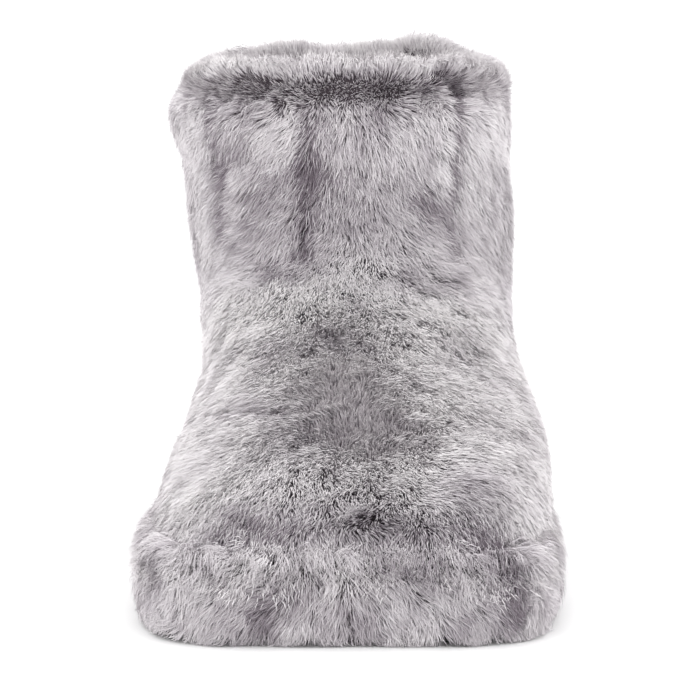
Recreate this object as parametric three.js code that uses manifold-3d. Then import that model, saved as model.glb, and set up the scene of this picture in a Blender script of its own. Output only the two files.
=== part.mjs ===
// A right bootie slipper in deep-pile faux fur, standing empty on its sole.
// Millimetres, +Z up. The toe points to -Y and the big-toe side is +X.
// The origin lies on the floor, half-way along the shoe.
import * as THREE from "three";
import Module from "manifold-3d";

const wasm = await Module();
wasm.setup();

const mix = (a, b, share) => a + (b - a) * share;

// Rows of numbers under the names of their columns
const asTable = (columns, rows) =>
  rows.map((row) => Object.fromEntries(columns.map((name, i) => [name, row[i]])));

// Outer sizes, over the fur
const LENGTH = 280;
const BALL_WIDTH = 135;
const HEEL_WIDTH = 114;
const HEIGHT = 165.5;
const INSTEP_HEIGHT = 100;
const SHAFT_WIDTH = 112;
const SHAFT_LENGTH = 134;
const SHAFT_BACK_SETBACK = 16;
const TOE_SETBACK = 7;
const HEEL_SETBACK = 6;
const SHAFT_LEAN = 3;

// The waist of the outline: its depth as a share of the half width, its place and spread along the shoe
// (toe -1, heel 1), and the share of it on the little-toe side
const WAIST = 0.06;
const WAIST_PLACE = 0.12;
const WAIST_SPREAD = 0.3;
const WAIST_OUTER_SHARE = 0.4;

// Unit sole: a tread sheet with a foam platform on it
const TREAD_THICKNESS = 3.5;
const TREAD_SETBACK = 7.5;
const TREAD_BEVEL = 1.2;
const PLATFORM_HEIGHT = 13;
const TOE_SPRING = 1.6;
const TOE_SPRING_LENGTH = 40;
const ARCH_RISE = 1.6;
const ARCH = { from: 0.47, to: 0.68 };
const GROOVE_DEPTH = 1.4;
const GROOVE_WIDTH = 3;
const GROOVE_PITCH = 9;
const GROOVE_EDGE = 8;
const FOREFOOT_GROOVES = { from: 0.17, to: 0.46 };
const HEEL_GROOVES = { from: 0.7, to: 0.93 };
const BORDER_STEPS = 200;
const UNDER_STEPS = 12;

// Fur band wrapped round the side of the sole
const WRAP_HEIGHT = 27;
const WRAP_THICKNESS = 12;
const WRAP_BASE = 0.8;

// Walls
const CLEARANCE = 0.3;
const FABRIC = 4.5;
const PILE = 6.5;
const INSOLE_THICKNESS = 6;
const INSOLE_EDGE = 2;

// Ankle seam between upper and shaft, and the rolled collar
const SEAM_FRONT_HEIGHT = 98;
const SEAM_BACK_HEIGHT = 74;
const SEAM_PEAK_TURN = -0.02;
const SEAM_DIP = 2;
const COLLAR_HEIGHT = 33;
const COLLAR_SWELL = 2.0;
const COLLAR_SLOUCH = 1.3;

// Fur locks fused on the outside: flat leaves, sunk at the root and at both edges
const LOCK_LENGTH = 21;
const LOCK_WIDTH = 10.5;
const LOCK_RIDGE = 1.6;
const LOCK_TIP_LIFT = 0.5;
const LOCK_SUNK = 1.4;
const LOCK_BELLY = 0.45;
const LOCK_STAGGER = 0.5;
const LOCK_JITTER = 0.25;
const LOCK_SMALLEST = 0.8;
const LOCK_LARGEST = 1.15;

// Rows of locks: where they are rooted as a share of the wall's height, how many, their size as a share
// and the turns between which they lie. In the upper, the share goes from the lowest root, a lock's
// length above the sole wrap (0), to the ankle seam (1).
const WRAP_LOCKS = [{ up: 0.93, count: 44 }];
const UPPER_LOCKS = [
  { up: 0.06, count: 30 },
  { up: 0.39, count: 7, from: -0.17, to: 0.17 },
  { up: 0.65, count: 6, from: -0.14, to: 0.14 },
  { up: 0.89, count: 26 },
];
const SHAFT_LOCKS = [
  { up: 0.5, count: 22, size: 0.8 },
  { up: 0.97, count: 22 },
];
const COLLAR_UP_LOCKS = [{ up: 0.57, count: 24, size: 0.6 }];
const COLLAR_DOWN_LOCKS = [{ up: 0.5, count: 24, size: 0.62 }];

// Facets round every ring, and how far they crowd towards the outline's corners
const TURNS = 44;
const CORNER_CROWD = 0.4;

// The step in turn or level by which a surface's slope is taken
const PROBE = 2e-3;

// Where along an outline (toe -1, heel 1) the toe's shape gives way to the heel's
const SQUARE_BLEND = 0.4;
const WIDTH_BLEND = { from: -0.55, to: 0.65 };

// The fur's outline at levels from the top of the sole wrap (rise 0) over the instep (rise 1) to the top
// of the collar (rise 2). reach and heel go from the toe and heel end (0) to the shaft (1). The four
// widths are shares of the half widths, and a square of 2 is an ellipse's end.
const LEVELS = asTable(
  ["rise", "reach", "heel", "ballLeft", "ballRight", "heelLeft", "heelRight", "toeSquare", "heelSquare"],
  [
    [0.00, 0.00, 0.00, 0.94, 0.95, 0.84, 1.02, 4.20, 2.80],
    [0.12, 0.01, 0.00, 0.93, 0.98, 0.88, 1.10, 3.80, 2.80],
    [0.26, 0.06, 0.10, 0.89, 1.01, 0.90, 1.10, 3.20, 2.80],
    [0.40, 0.16, 0.25, 0.84, 1.00, 0.90, 1.04, 2.70, 2.70],
    [0.52, 0.30, 0.40, 0.80, 0.96, 0.90, 1.01, 2.40, 2.60],
    [0.63, 0.46, 0.55, 0.81, 0.92, 0.91, 1.00, 2.30, 2.60],
    [0.74, 0.64, 0.68, 0.85, 0.93, 0.92, 1.01, 2.30, 2.60],
    [0.86, 0.80, 0.80, 0.89, 0.96, 0.94, 1.01, 2.40, 2.60],
    [1.00, 0.93, 0.90, 0.94, 0.99, 0.96, 1.01, 2.50, 2.60],
    [1.12, 0.98, 0.96, 0.96, 1.00, 0.97, 1.01, 2.60, 2.60],
    [1.40, 1.00, 1.00, 0.98, 1.00, 0.98, 1.00, 2.70, 2.60],
    [1.70, 1.00, 1.00, 1.00, 0.99, 1.00, 0.99, 2.70, 2.60],
    [2.00, 1.00, 1.00, 1.00, 0.98, 1.00, 0.98, 2.70, 2.60],
  ],
);

// The widest outline, which the sole and its wrap follow, with the same meanings
const SOLE_SHARES = {
  ballLeft: 1.01,
  ballRight: 0.99,
  heelLeft: 0.88,
  heelRight: 1.12,
  toeSquare: 5.6,
  heelSquare: 3,
};

// The sole wrap's side: how far its fur stands in from the widest outline, as a share of its thickness
const WRAP_SIDE = [
  { rise: 0.0, inset: 0.16 },
  { rise: 0.16, inset: 0.03 },
  { rise: 0.4, inset: 0.0 },
  { rise: 0.66, inset: 0.04 },
  { rise: 0.87, inset: 0.18 },
  { rise: 1.0, inset: 0.45 },
];

// The collar's roll in section, from its lower edge (0) to its top (1): out is a share of its swell
const COLLAR_ROLL = [
  { up: 0.0, out: -0.5 },
  { up: 0.1, out: 0.4 },
  { up: 0.38, out: 1.0 },
  { up: 0.66, out: 0.75 },
  { up: 0.86, out: -0.2 },
  { up: 1.0, out: -1.7 },
];

const clamp = (x, low, high) => Math.min(high, Math.max(low, x));
const smooth = (low, high, x) => THREE.MathUtils.smoothstep(x, low, high);

// Places round a ring, closer together at its four corners
const turnsOf = (n = TURNS) =>
  Array.from({ length: n }, (_, i) => i / n + (CORNER_CROWD / (8 * Math.PI)) * Math.sin((8 * Math.PI * i) / n));

// A repeatable number from 0 to 1 for each pair of whole numbers
function chance(a, b) {
  const x = Math.sin(a * 127.1 + b * 311.7) * 43758.5453;
  return x - Math.floor(x);
}

// One column of a table at a value of its first column, on a smooth curve through the rows
function readColumn(table, key, column, at) {
  const last = table.length - 1;
  const x = clamp(at, table[0][key], table[last][key]);
  let i = table.findIndex((row) => row[key] >= x) - 1;
  i = clamp(i, 0, last - 1);
  const slope = (k) => {
    const before = table[Math.max(0, k - 1)];
    const after = table[Math.min(last, k + 1)];
    return (after[column] - before[column]) / (after[key] - before[key]);
  };
  const step = table[i + 1][key] - table[i][key];
  const t = (x - table[i][key]) / step;
  const t2 = t * t;
  const t3 = t2 * t;
  return (
    (2 * t3 - 3 * t2 + 1) * table[i][column] +
    (t3 - 2 * t2 + t) * step * slope(i) +
    (3 * t2 - 2 * t3) * table[i + 1][column] +
    (t3 - t2) * step * slope(i + 1)
  );
}

// A point of a closed outline: turn 0 is the toe, 0.25 the big-toe side, 0.5 the heel
function outlinePoint(shape, turn, z) {
  const angle = 2 * Math.PI * turn;
  const ahead = -Math.cos(angle);
  const side = Math.sin(angle);
  const square = mix(shape.toeSquare, shape.heelSquare, smooth(-SQUARE_BLEND, SQUARE_BLEND, ahead));
  const r = (Math.abs(ahead) ** square + Math.abs(side) ** square) ** (-1 / square);
  const along = r * ahead;
  const back = smooth(WIDTH_BLEND.from, WIDTH_BLEND.to, along);
  const pinch = shape.waist * Math.exp(-(((along - WAIST_PLACE) / WAIST_SPREAD) ** 2));
  const half =
    side > 0
      ? mix(shape.ballRight, shape.heelRight, back) * (1 - pinch)
      : mix(shape.ballLeft, shape.heelLeft, back) * (1 - WAIST_OUTER_SHARE * pinch);
  const y = mix(shape.front, shape.back, (along + 1) / 2) - LENGTH / 2;
  return new THREE.Vector3(half * r * side + shape.lean, y, z);
}

// The widest outline of the whole shoe, which the sole and its wrap follow
function soleOutline(turn, inset, z) {
  const shape = {
    front: 0,
    back: LENGTH,
    ballLeft: SOLE_SHARES.ballLeft * (BALL_WIDTH / 2),
    ballRight: SOLE_SHARES.ballRight * (BALL_WIDTH / 2),
    heelLeft: SOLE_SHARES.heelLeft * (HEEL_WIDTH / 2),
    heelRight: SOLE_SHARES.heelRight * (HEEL_WIDTH / 2),
    toeSquare: SOLE_SHARES.toeSquare,
    heelSquare: SOLE_SHARES.heelSquare,
    waist: WAIST,
    lean: 0,
  };
  const at = (t) => outlinePoint(shape, t, z);
  const along = at(turn + PROBE).sub(at(turn - PROBE)).normalize();
  return at(turn).add(new THREE.Vector3(-along.y, along.x, 0).multiplyScalar(inset));
}

const levelHeight = (rise) =>
  rise < 1
    ? mix(WRAP_HEIGHT + CLEARANCE, INSTEP_HEIGHT, rise)
    : mix(INSTEP_HEIGHT, HEIGHT, rise - 1);

// The upper's and shaft's fur surface
function furPoint(turn, rise) {
  const read = (column) => readColumn(LEVELS, "rise", column, rise);
  const low = clamp(rise, 0, 1);
  const ball = mix(BALL_WIDTH, SHAFT_WIDTH, low) / 2;
  const heel = mix(HEEL_WIDTH, SHAFT_WIDTH, low) / 2;
  const shaftBack = LENGTH - SHAFT_BACK_SETBACK;
  const shape = {
    front: mix(TOE_SETBACK, shaftBack - SHAFT_LENGTH, read("reach")),
    back: mix(LENGTH - HEEL_SETBACK, shaftBack, read("heel")),
    ballLeft: ball * read("ballLeft"),
    ballRight: ball * read("ballRight"),
    heelLeft: heel * read("heelLeft"),
    heelRight: heel * read("heelRight"),
    toeSquare: read("toeSquare"),
    heelSquare: read("heelSquare"),
    waist: WAIST * (1 - low),
    lean: -SHAFT_LEAN * smooth(0.8, 2, rise),
  };
  return outlinePoint(shape, turn, levelHeight(rise));
}

// The outward normal of that surface
function furNormal(turn, rise) {
  const around = furPoint(turn + PROBE, rise).sub(furPoint(turn - PROBE, rise));
  const up = furPoint(turn, rise + PROBE).sub(furPoint(turn, Math.max(0, rise - PROBE)));
  return around.cross(up).normalize();
}

const furInset = (turn, rise, depth) =>
  furPoint(turn, rise).add(furNormal(turn, rise).multiplyScalar(-depth));

// The ankle seam: high over the instep, lower behind
function seamRise(turn) {
  const ahead = (1 + Math.cos(2 * Math.PI * (turn - SEAM_PEAK_TURN))) / 2;
  const z = mix(SEAM_BACK_HEIGHT, SEAM_FRONT_HEIGHT, ahead ** 2);
  return (z - levelHeight(0)) / (INSTEP_HEIGHT - levelHeight(0));
}

// A solid between an outer and an inner stack of closed rings, both from the bottom up
function wall(outer, inner) {
  const n = outer[0].length;
  const rings = [...outer, ...inner.slice().reverse()];
  const points = rings.flat();
  const faces = [];
  rings.slice(1).forEach((_, k) => {
    const a = k * n;
    const b = a + n;
    for (let i = 0; i < n; i++) {
      const j = (i + 1) % n;
      faces.push(a + i, a + j, b + j, a + i, b + j, b + i);
    }
  });
  const end = (rings.length - 1) * n;
  for (let i = 0; i < n; i++) {
    const j = (i + 1) % n;
    faces.push(end + i, end + j, i, end + j, j, i);
  }
  return solid(points, faces);
}

// A solid from a stack of closed rings, from the bottom up, closed by a flat fan at each end
function stack(rings) {
  const n = rings[0].length;
  const points = rings.flat();
  const faces = [];
  rings.slice(1).forEach((_, k) => {
    for (let i = 0; i < n; i++) {
      const j = (i + 1) % n;
      const a = k * n;
      const b = a + n;
      faces.push(a + i, a + j, b + j, a + i, b + j, b + i);
    }
  });
  const middle = (ring) => ring.reduce((sum, p) => sum.add(p), new THREE.Vector3()).divideScalar(n);
  const bottom = points.push(middle(rings[0])) - 1;
  const top = points.push(middle(rings[rings.length - 1])) - 1;
  const high = (rings.length - 1) * n;
  for (let i = 0; i < n; i++) {
    const j = (i + 1) % n;
    faces.push(bottom, j, i, top, high + i, high + j);
  }
  return solid(points, faces);
}

function solid(points, faces) {
  const vertProperties = new Float32Array(points.flatMap((p) => [p.x, p.y, p.z]));
  const triVerts = new Uint32Array(faces);
  return new wasm.Manifold(new wasm.Mesh({ numProp: 3, vertProperties, triVerts }));
}

// A comb direction that spreads to both sides, with a push along the shoe and up
const combed = (spread, along, up) => (turn) =>
  new THREE.Vector3(spread * Math.sin(2 * Math.PI * turn), along, up);

// The outward normal of a surface given by at(turn, v)
function normalOf(at) {
  return (turn, v) => {
    const around = at(turn + PROBE, v).sub(at(turn - PROBE, v));
    return around.cross(at(turn, v + PROBE).sub(at(turn, v - PROBE))).normalize();
  };
}

// Steps in turn and in v that go one millimetre along a direction on a surface
function stepsAlong(surface, turn, v, direction) {
  const around = surface.at(turn + PROBE, v).sub(surface.at(turn - PROBE, v)).divideScalar(2 * PROBE);
  const up = surface.at(turn, v + PROBE).sub(surface.at(turn, v - PROBE)).divideScalar(2 * PROBE);
  const skew = around.dot(up);
  const [aa, uu] = [around.lengthSq(), up.lengthSq()];
  const [da, du] = [direction.dot(around), direction.dot(up)];
  const whole = aa * uu - skew * skew;
  const dTurn = (da * uu - du * skew) / whole;
  const dV = (du * aa - da * skew) / whole;
  const size = around.multiplyScalar(dTurn).addScaledVector(up, dV).length();
  return { dTurn: dTurn / size, dV: dV / size };
}

// A lock of fur: a flat leaf that follows the surface along its comb
function lock(surface, turn, v, share) {
  const length = LOCK_LENGTH * share;
  const forward = stepsAlong(surface, turn, v, surface.comb(turn));
  const place = (ahead, lift) => {
    const [t, w] = [turn + ahead * forward.dTurn, v + ahead * forward.dV];
    return surface.at(t, w).addScaledVector(surface.normal(t, w), lift);
  };
  const belly = LOCK_BELLY * length;
  const root = place(0, -LOCK_SUNK);
  const tip = place(length, LOCK_TIP_LIFT);
  const ridge = place(belly, LOCK_RIDGE);
  const keel = place(belly, -2 * LOCK_SUNK);
  const across = tip.clone().sub(root).cross(ridge.clone().sub(keel)).setLength((LOCK_WIDTH * share) / 2);
  const edge = place(belly, -LOCK_SUNK);
  const points = [root, ridge, edge.clone().sub(across), keel, edge.clone().add(across), tip];
  const faces = [];
  for (let i = 1; i <= 4; i++) {
    const j = (i % 4) + 1;
    faces.push(0, i, j, 5, j, i);
  }
  return solid(points, faces);
}

// Rows of locks on a surface that has at(turn, v), normal(turn, v), comb(turn) and level(turn, up)
function locks(surface, rows, seed) {
  const made = [];
  rows.forEach(({ up, count, from = 0, to = 1, size = 1 }, k) => {
    for (let i = 0; i < count; i++) {
      const stagger = LOCK_STAGGER * (k % 2) + LOCK_JITTER * chance(i, k + seed);
      const turn = mix(from, to, (i + stagger) / count);
      const share = size * mix(LOCK_SMALLEST, LOCK_LARGEST, chance(i, k + seed + 0.5));
      made.push(lock(surface, turn, surface.level(turn, up), share));
    }
  });
  return made;
}

// A wall with its locks fused on
const joined = (base, added) => added.reduce((whole, one) => whole.add(one), base);

const alongShoe = (y) => (y + LENGTH / 2) / LENGTH;

// How far the toe of the sole is lifted off the floor
const toeSpring = (y) => TOE_SPRING * clamp(1 - (alongShoe(y) * LENGTH) / TOE_SPRING_LENGTH, 0, 1) ** 2;

// How far the waist of the sole is lifted off the floor
function archRise(y) {
  const share = (alongShoe(y) - ARCH.from) / (ARCH.to - ARCH.from);
  return ARCH_RISE * Math.sin(Math.PI * share) ** 2;
}

// A block under the sole between two places along the shoe, whose top follows a height
function underBlock(from, to, height) {
  const [reach, deep] = [BALL_WIDTH, -TREAD_THICKNESS];
  const rings = Array.from({ length: UNDER_STEPS + 1 }, (_, i) => {
    const y = mix(from, to, i / UNDER_STEPS);
    const corners = [[-reach, deep], [-reach, height(y)], [reach, height(y)], [reach, deep]];
    return corners.map(([x, z]) => new THREE.Vector3(x, y, z));
  });
  return stack(rings);
}

// A ring of the sole's outline at an inset, lifted with the toe
const soleRing = (inset, z, lift = 0) =>
  turnsOf().map((t) => {
    const p = soleOutline(t, inset, z);
    p.z += lift * toeSpring(p.y);
    return p;
  });

// The unit sole: flat under heel and forefoot, with grip grooves, a raised waist and a toe spring
function soleSolid() {
  const core = WRAP_THICKNESS + CLEARANCE;
  const body = stack([
    soleRing(TREAD_SETBACK + TREAD_BEVEL, 0),
    soleRing(TREAD_SETBACK, TREAD_BEVEL, 1),
    soleRing(TREAD_SETBACK, TREAD_THICKNESS, 1),
    soleRing(core, TREAD_THICKNESS, 1),
    soleRing(core, PLATFORM_HEIGHT),
  ]);
  const place = (share) => (share - 0.5) * LENGTH;
  const cuts = [
    underBlock(place(-0.1), place(TOE_SPRING_LENGTH / LENGTH), toeSpring),
    underBlock(place(ARCH.from), place(ARCH.to), archRise),
  ];
  for (const zone of [FOREFOOT_GROOVES, HEEL_GROOVES]) {
    const count = Math.floor(((zone.to - zone.from) * LENGTH) / GROOVE_PITCH);
    for (let k = 0; k < count; k++) {
      cuts.push(groove(place(zone.from) + (k + 0.5) * GROOVE_PITCH));
    }
  }
  return cuts.reduce((sum, cut) => sum.subtract(cut), body);
}

// A grip groove across the tread at one place along the shoe, stopping short of both edges
function groove(y) {
  const edge = (side) => {
    const inset = TREAD_SETBACK + GROOVE_EDGE;
    const border = turnsOf(BORDER_STEPS).map((t) => soleOutline((side * t) / 2, inset, 0));
    return border.reduce((best, p) => (Math.abs(p.y - y) < Math.abs(best.y - y) ? p : best)).x;
  };
  const [left, right] = [edge(-1), edge(1)];
  const corner = (x, dy, z) => new THREE.Vector3(x, y + dy, z);
  const level = (z, half) => [
    corner(left, -half, z),
    corner(right, -half, z),
    corner(right, half, z),
    corner(left, half, z),
  ];
  return stack([level(-1, GROOVE_WIDTH / 2), level(GROOVE_DEPTH, GROOVE_WIDTH / 3)]);
}

// The fur band round the sole's side
function wrapSolid() {
  const at = (turn, v) => {
    const inset = WRAP_THICKNESS * readColumn(WRAP_SIDE, "rise", "inset", v);
    const p = soleOutline(turn, inset, 0);
    p.z = mix(WRAP_BASE + toeSpring(p.y), WRAP_HEIGHT, v);
    return p;
  };
  const outer = WRAP_SIDE.map(({ rise }) => turnsOf().map((t) => at(t, rise)));
  const rebate = TREAD_SETBACK - CLEARANCE;
  const inner = [
    soleRing(rebate, WRAP_BASE, 1),
    soleRing(rebate, TREAD_THICKNESS + CLEARANCE, 1),
    soleRing(WRAP_THICKNESS, TREAD_THICKNESS + CLEARANCE, 1),
    soleRing(WRAP_THICKNESS, WRAP_HEIGHT),
  ];
  const normal = normalOf(at);
  const comb = combed(0.4, 0.2, -1);
  const level = (_, up) => up;
  return joined(wall(outer, inner), locks({ at, normal, comb, level }, WRAP_LOCKS, 11));
}

// The padded insole on the platform
function insoleSolid() {
  const base = PLATFORM_HEIGHT + CLEARANCE;
  const inset = WRAP_THICKNESS + 2 * CLEARANCE + FABRIC;
  return stack([
    soleRing(inset, base),
    soleRing(inset, base + INSOLE_THICKNESS - INSOLE_EDGE),
    soleRing(inset + INSOLE_EDGE, base + INSOLE_THICKNESS),
  ]);
}

// Rings of the fur surface and of the wall's inside, at shares from one level to another
const furRings = (shares, level, depth) =>
  shares.map((share) => turnsOf().map((t) => furInset(t, level(t, share), depth(share))));

// The lower part of the upper: tucked inside the sole wrap, then fur over foot and instep up to the seam
function upperSolid() {
  const tuck = WRAP_THICKNESS + CLEARANCE;
  const base = PLATFORM_HEIGHT + CLEARANCE;
  const ledge = levelHeight(0);
  const seamGap = CLEARANCE / (INSTEP_HEIGHT - ledge) / 2;
  const level = (turn, share) => share * (seamRise(turn) - seamGap);
  const outerShares = [0, 0.13, 0.27, 0.4, 0.52, 0.64, 0.76, 0.88, 0.96, 1];
  const outer = furRings(outerShares, level, (s) => (s === 1 ? SEAM_DIP : 0));
  const inner = furRings([0.12, 0.36, 0.58, 0.8, 1], level, () => FABRIC + PILE);
  const body = wall(
    [soleRing(tuck, base), soleRing(tuck, ledge), ...outer],
    [soleRing(tuck + FABRIC, base), soleRing(tuck + FABRIC, ledge), ...inner],
  );
  const comb = combed(1.1, -0.35, -0.6);
  const lowest = (LOCK_LENGTH * LOCK_LARGEST + CLEARANCE) / (INSTEP_HEIGHT - ledge);
  const rooted = (turn, up) => mix(lowest, seamRise(turn), up);
  return joined(body, locks({ at: furPoint, normal: furNormal, comb, level: rooted }, UPPER_LOCKS, 3));
}

// The shaft, from the ankle seam to the underside of the collar
function shaftSolid() {
  const seamGap = CLEARANCE / (INSTEP_HEIGHT - levelHeight(0)) / 2;
  const low = (turn) => seamRise(turn) + seamGap;
  const high = 2 - (COLLAR_HEIGHT + CLEARANCE) / (HEIGHT - INSTEP_HEIGHT);
  const level = (turn, share) => mix(low(turn), high, share);
  const outer = furRings([0, 0.07, 0.22, 0.4, 0.6, 0.92, 1], level, (s) => (s === 0 || s === 1 ? SEAM_DIP : 0));
  const inner = furRings([0, 0.34, 0.66, 1], level, () => FABRIC + PILE);
  const comb = combed(0.35, 0, -1);
  return joined(wall(outer, inner), locks({ at: furPoint, normal: furNormal, comb, level }, SHAFT_LOCKS, 5));
}

// The rolled fur collar on top of the shaft, with its facing turned in
function collarSolid() {
  const thick = FABRIC + PILE;
  const level = (up) => 2 - ((1 - up) * COLLAR_HEIGHT) / (HEIGHT - INSTEP_HEIGHT);
  const swell = (turn) => COLLAR_SWELL - COLLAR_SLOUCH * Math.sin(2 * Math.PI * turn);
  const at = (turn, up) => furInset(turn, level(up), -readColumn(COLLAR_ROLL, "up", "out", up) * swell(turn));
  const normal = normalOf(at);
  const outer = COLLAR_ROLL.map(({ up }) => turnsOf().map((t) => at(t, up)));
  const inner = [0, 0.45, 0.85].map((up) =>
    turnsOf().map((t) => furInset(t, level(up), thick + 0.4 * up * COLLAR_SWELL)),
  );
  const crown = turnsOf().map((t) => furInset(t, 2, 0.7 * thick));
  const surface = { at, normal, level: (_, up) => up };
  return joined(wall([...outer, crown], inner), [
    ...locks({ ...surface, comb: combed(0.3, 0, 1) }, COLLAR_UP_LOCKS, 9),
    ...locks({ ...surface, comb: combed(0.3, 0, -1) }, COLLAR_DOWN_LOCKS, 10),
  ]);
}

// A mesh of a solid, with its look
function mesh(name, made, color, roughness) {
  const { vertProperties, triVerts } = made.getMesh();
  const geometry = new THREE.BufferGeometry();
  geometry.setAttribute("position", new THREE.BufferAttribute(vertProperties, 3));
  geometry.setIndex(new THREE.BufferAttribute(triVerts, 1));
  geometry.computeVertexNormals();
  const material = new THREE.MeshStandardMaterial({ color, roughness, metalness: 0 });
  const piece = new THREE.Mesh(geometry, material);
  piece.name = name;
  return piece;
}

const FUR = 0xb0acaf;
const slipper = new THREE.Group();
slipper.add(
  mesh("sole", soleSolid(), 0x5e5a5e, 0.8),
  mesh("sole_wrap", wrapSolid(), FUR, 1),
  mesh("insole", insoleSolid(), 0xd2ced0, 1),
  mesh("upper", upperSolid(), FUR, 1),
  mesh("shaft", shaftSolid(), FUR, 1),
  mesh("collar", collarSolid(), FUR, 1),
);

// The middle of the outline goes over the origin
const bounds = new THREE.Box3().setFromObject(slipper);
const middle = bounds.getCenter(new THREE.Vector3());
slipper.children.forEach((piece) => piece.geometry.translate(-middle.x, -middle.y, 0));

export default slipper;
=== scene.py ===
"""A fur bootie slipper for the right foot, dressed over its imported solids.

Sizes are in millimetres until a mesh is made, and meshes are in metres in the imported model's
frame: the toe points to -Y, the big-toe side to +X, and the floor is at z = 0. The fur is made of
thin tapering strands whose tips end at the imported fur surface.
"""

import logging
import math
from dataclasses import dataclass
from enum import Enum

import bpy
import numpy as np
from mathutils import Euler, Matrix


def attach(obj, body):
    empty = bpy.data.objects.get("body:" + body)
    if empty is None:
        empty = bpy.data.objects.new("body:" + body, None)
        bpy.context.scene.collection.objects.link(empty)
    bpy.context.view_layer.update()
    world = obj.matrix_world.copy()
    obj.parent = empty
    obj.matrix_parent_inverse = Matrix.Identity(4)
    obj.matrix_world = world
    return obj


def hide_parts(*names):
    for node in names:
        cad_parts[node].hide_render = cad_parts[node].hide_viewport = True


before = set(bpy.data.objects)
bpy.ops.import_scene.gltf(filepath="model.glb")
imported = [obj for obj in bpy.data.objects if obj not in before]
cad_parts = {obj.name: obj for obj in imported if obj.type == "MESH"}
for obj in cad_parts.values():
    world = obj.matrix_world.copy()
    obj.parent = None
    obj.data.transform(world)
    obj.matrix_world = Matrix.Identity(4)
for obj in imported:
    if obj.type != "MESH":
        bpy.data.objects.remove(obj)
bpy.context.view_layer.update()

Array = np.ndarray
MM = 0.001
TURN = 2 * math.pi
log = logging.getLogger("slipper")


class Slot(Enum):
    """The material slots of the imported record."""

    SOLE = "sole_rubber"
    WRAP = "fur_wrap"
    INSOLE = "insole_plush"
    UPPER = "fur_upper"
    SHAFT = "fur_shaft"
    COLLAR = "fur_collar"


def mix(a: Array, b: Array, share: Array) -> Array:
    """The value a share of the way from a to b."""
    return a + (b - a) * share


def smooth(low: float, high: float, x: Array) -> Array:
    """A soft step from 0 at low to 1 at high: 3t^2 - 2t^3 of the share t between them."""
    t = np.clip((x - low) / (high - low), 0, 1)
    return t * t * (3 - 2 * t)


def unit(vectors: Array) -> Array:
    """Vectors scaled to a length of one."""
    return vectors / np.maximum(np.linalg.norm(vectors, axis=-1, keepdims=True), 1e-9)


def cover(points: Array, amount: Array) -> Array:
    """Vectors times one amount for each."""
    return points * np.asarray(amount)[..., None]


@dataclass(frozen=True)
class Waves:
    """Soft repeatable unevenness: a sum of sine waves in random directions.

    Attributes:
        size: The length of a wave in millimetres.
        seed: Picks the directions and phases.
        count: How many waves are added.
    """

    size: float
    seed: int
    count: int = 7

    def at(self, points: Array) -> Array:
        """The unevenness at points, about -1 to 1: the sum of sin(w.p + phase) over root of the count.

        Args:
            points: Places, n by 3, in millimetres.

        Returns:
            One number for each place.
        """
        rng = np.random.default_rng(self.seed)
        ways = unit(rng.normal(size=(self.count, 3))) * TURN / self.size
        ways *= rng.uniform(0.7, 1.4, (self.count, 1))
        phases = rng.uniform(0, TURN, self.count)
        return np.sin(points @ ways.T + phases).sum(axis=-1) / math.sqrt(self.count)


@dataclass(frozen=True)
class Table:
    """Rows of numbers in named columns, read on a smooth curve down a column.

    Attributes:
        columns: The columns' names.
        rows: The rows, in the order of their first number.
    """

    columns: tuple[str, ...]
    rows: tuple[tuple[float, ...], ...]

    def read(self, column: str, at: Array) -> Array:
        """One column at values of the first: a cubic through the rows, its slope at a row being
        that of the line from the row before to the row after.

        Args:
            column: The column's name.
            at: Values of the first column.

        Returns:
            The column's values there.
        """
        keys = np.array([row[0] for row in self.rows])
        values = np.array([row[self.columns.index(column)] for row in self.rows])
        places = np.arange(len(keys))
        before = np.maximum(places - 1, 0)
        after = np.minimum(places + 1, len(keys) - 1)
        slopes = (values[after] - values[before]) / (keys[after] - keys[before])
        x = np.clip(at, keys[0], keys[-1])
        i = np.clip(np.searchsorted(keys, x) - 1, 0, len(keys) - 2)
        step = keys[i + 1] - keys[i]
        t = (x - keys[i]) / step
        return (
            (2 * t**3 - 3 * t**2 + 1) * values[i]
            + (t**3 - 2 * t**2 + t) * step * slopes[i]
            + (3 * t**2 - 2 * t**3) * values[i + 1]
            + (t**3 - t**2) * step * slopes[i + 1]
        )


LEVELS = Table(
    ("rise", "reach", "heel", "ballLeft", "ballRight", "heelLeft", "heelRight", "toeSquare", "heelSquare"),
    (
        (0.00, 0.00, 0.00, 0.94, 0.95, 0.84, 1.02, 4.2, 2.8),
        (0.12, 0.01, 0.00, 0.93, 0.98, 0.88, 1.10, 3.8, 2.8),
        (0.26, 0.06, 0.10, 0.89, 1.01, 0.90, 1.10, 3.2, 2.8),
        (0.40, 0.16, 0.25, 0.84, 1.00, 0.90, 1.04, 2.7, 2.7),
        (0.52, 0.30, 0.40, 0.80, 0.96, 0.90, 1.01, 2.4, 2.6),
        (0.63, 0.46, 0.55, 0.81, 0.92, 0.91, 1.00, 2.3, 2.6),
        (0.74, 0.64, 0.68, 0.85, 0.93, 0.92, 1.01, 2.3, 2.6),
        (0.86, 0.80, 0.80, 0.89, 0.96, 0.94, 1.01, 2.4, 2.6),
        (1.00, 0.93, 0.90, 0.94, 0.99, 0.96, 1.01, 2.5, 2.6),
        (1.12, 0.98, 0.96, 0.96, 1.00, 0.97, 1.01, 2.6, 2.6),
        (1.40, 1.00, 1.00, 0.98, 1.00, 0.98, 1.00, 2.7, 2.6),
        (1.70, 1.00, 1.00, 1.00, 0.99, 1.00, 0.99, 2.7, 2.6),
        (2.00, 1.00, 1.00, 1.00, 0.98, 1.00, 0.98, 2.7, 2.6),
    ),
)
WRAP_SIDE = Table(
    ("rise", "inset"),
    ((0.0, 0.16), (0.16, 0.03), (0.4, 0.0), (0.66, 0.04), (0.87, 0.18), (1.0, 0.45)),
)
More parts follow.
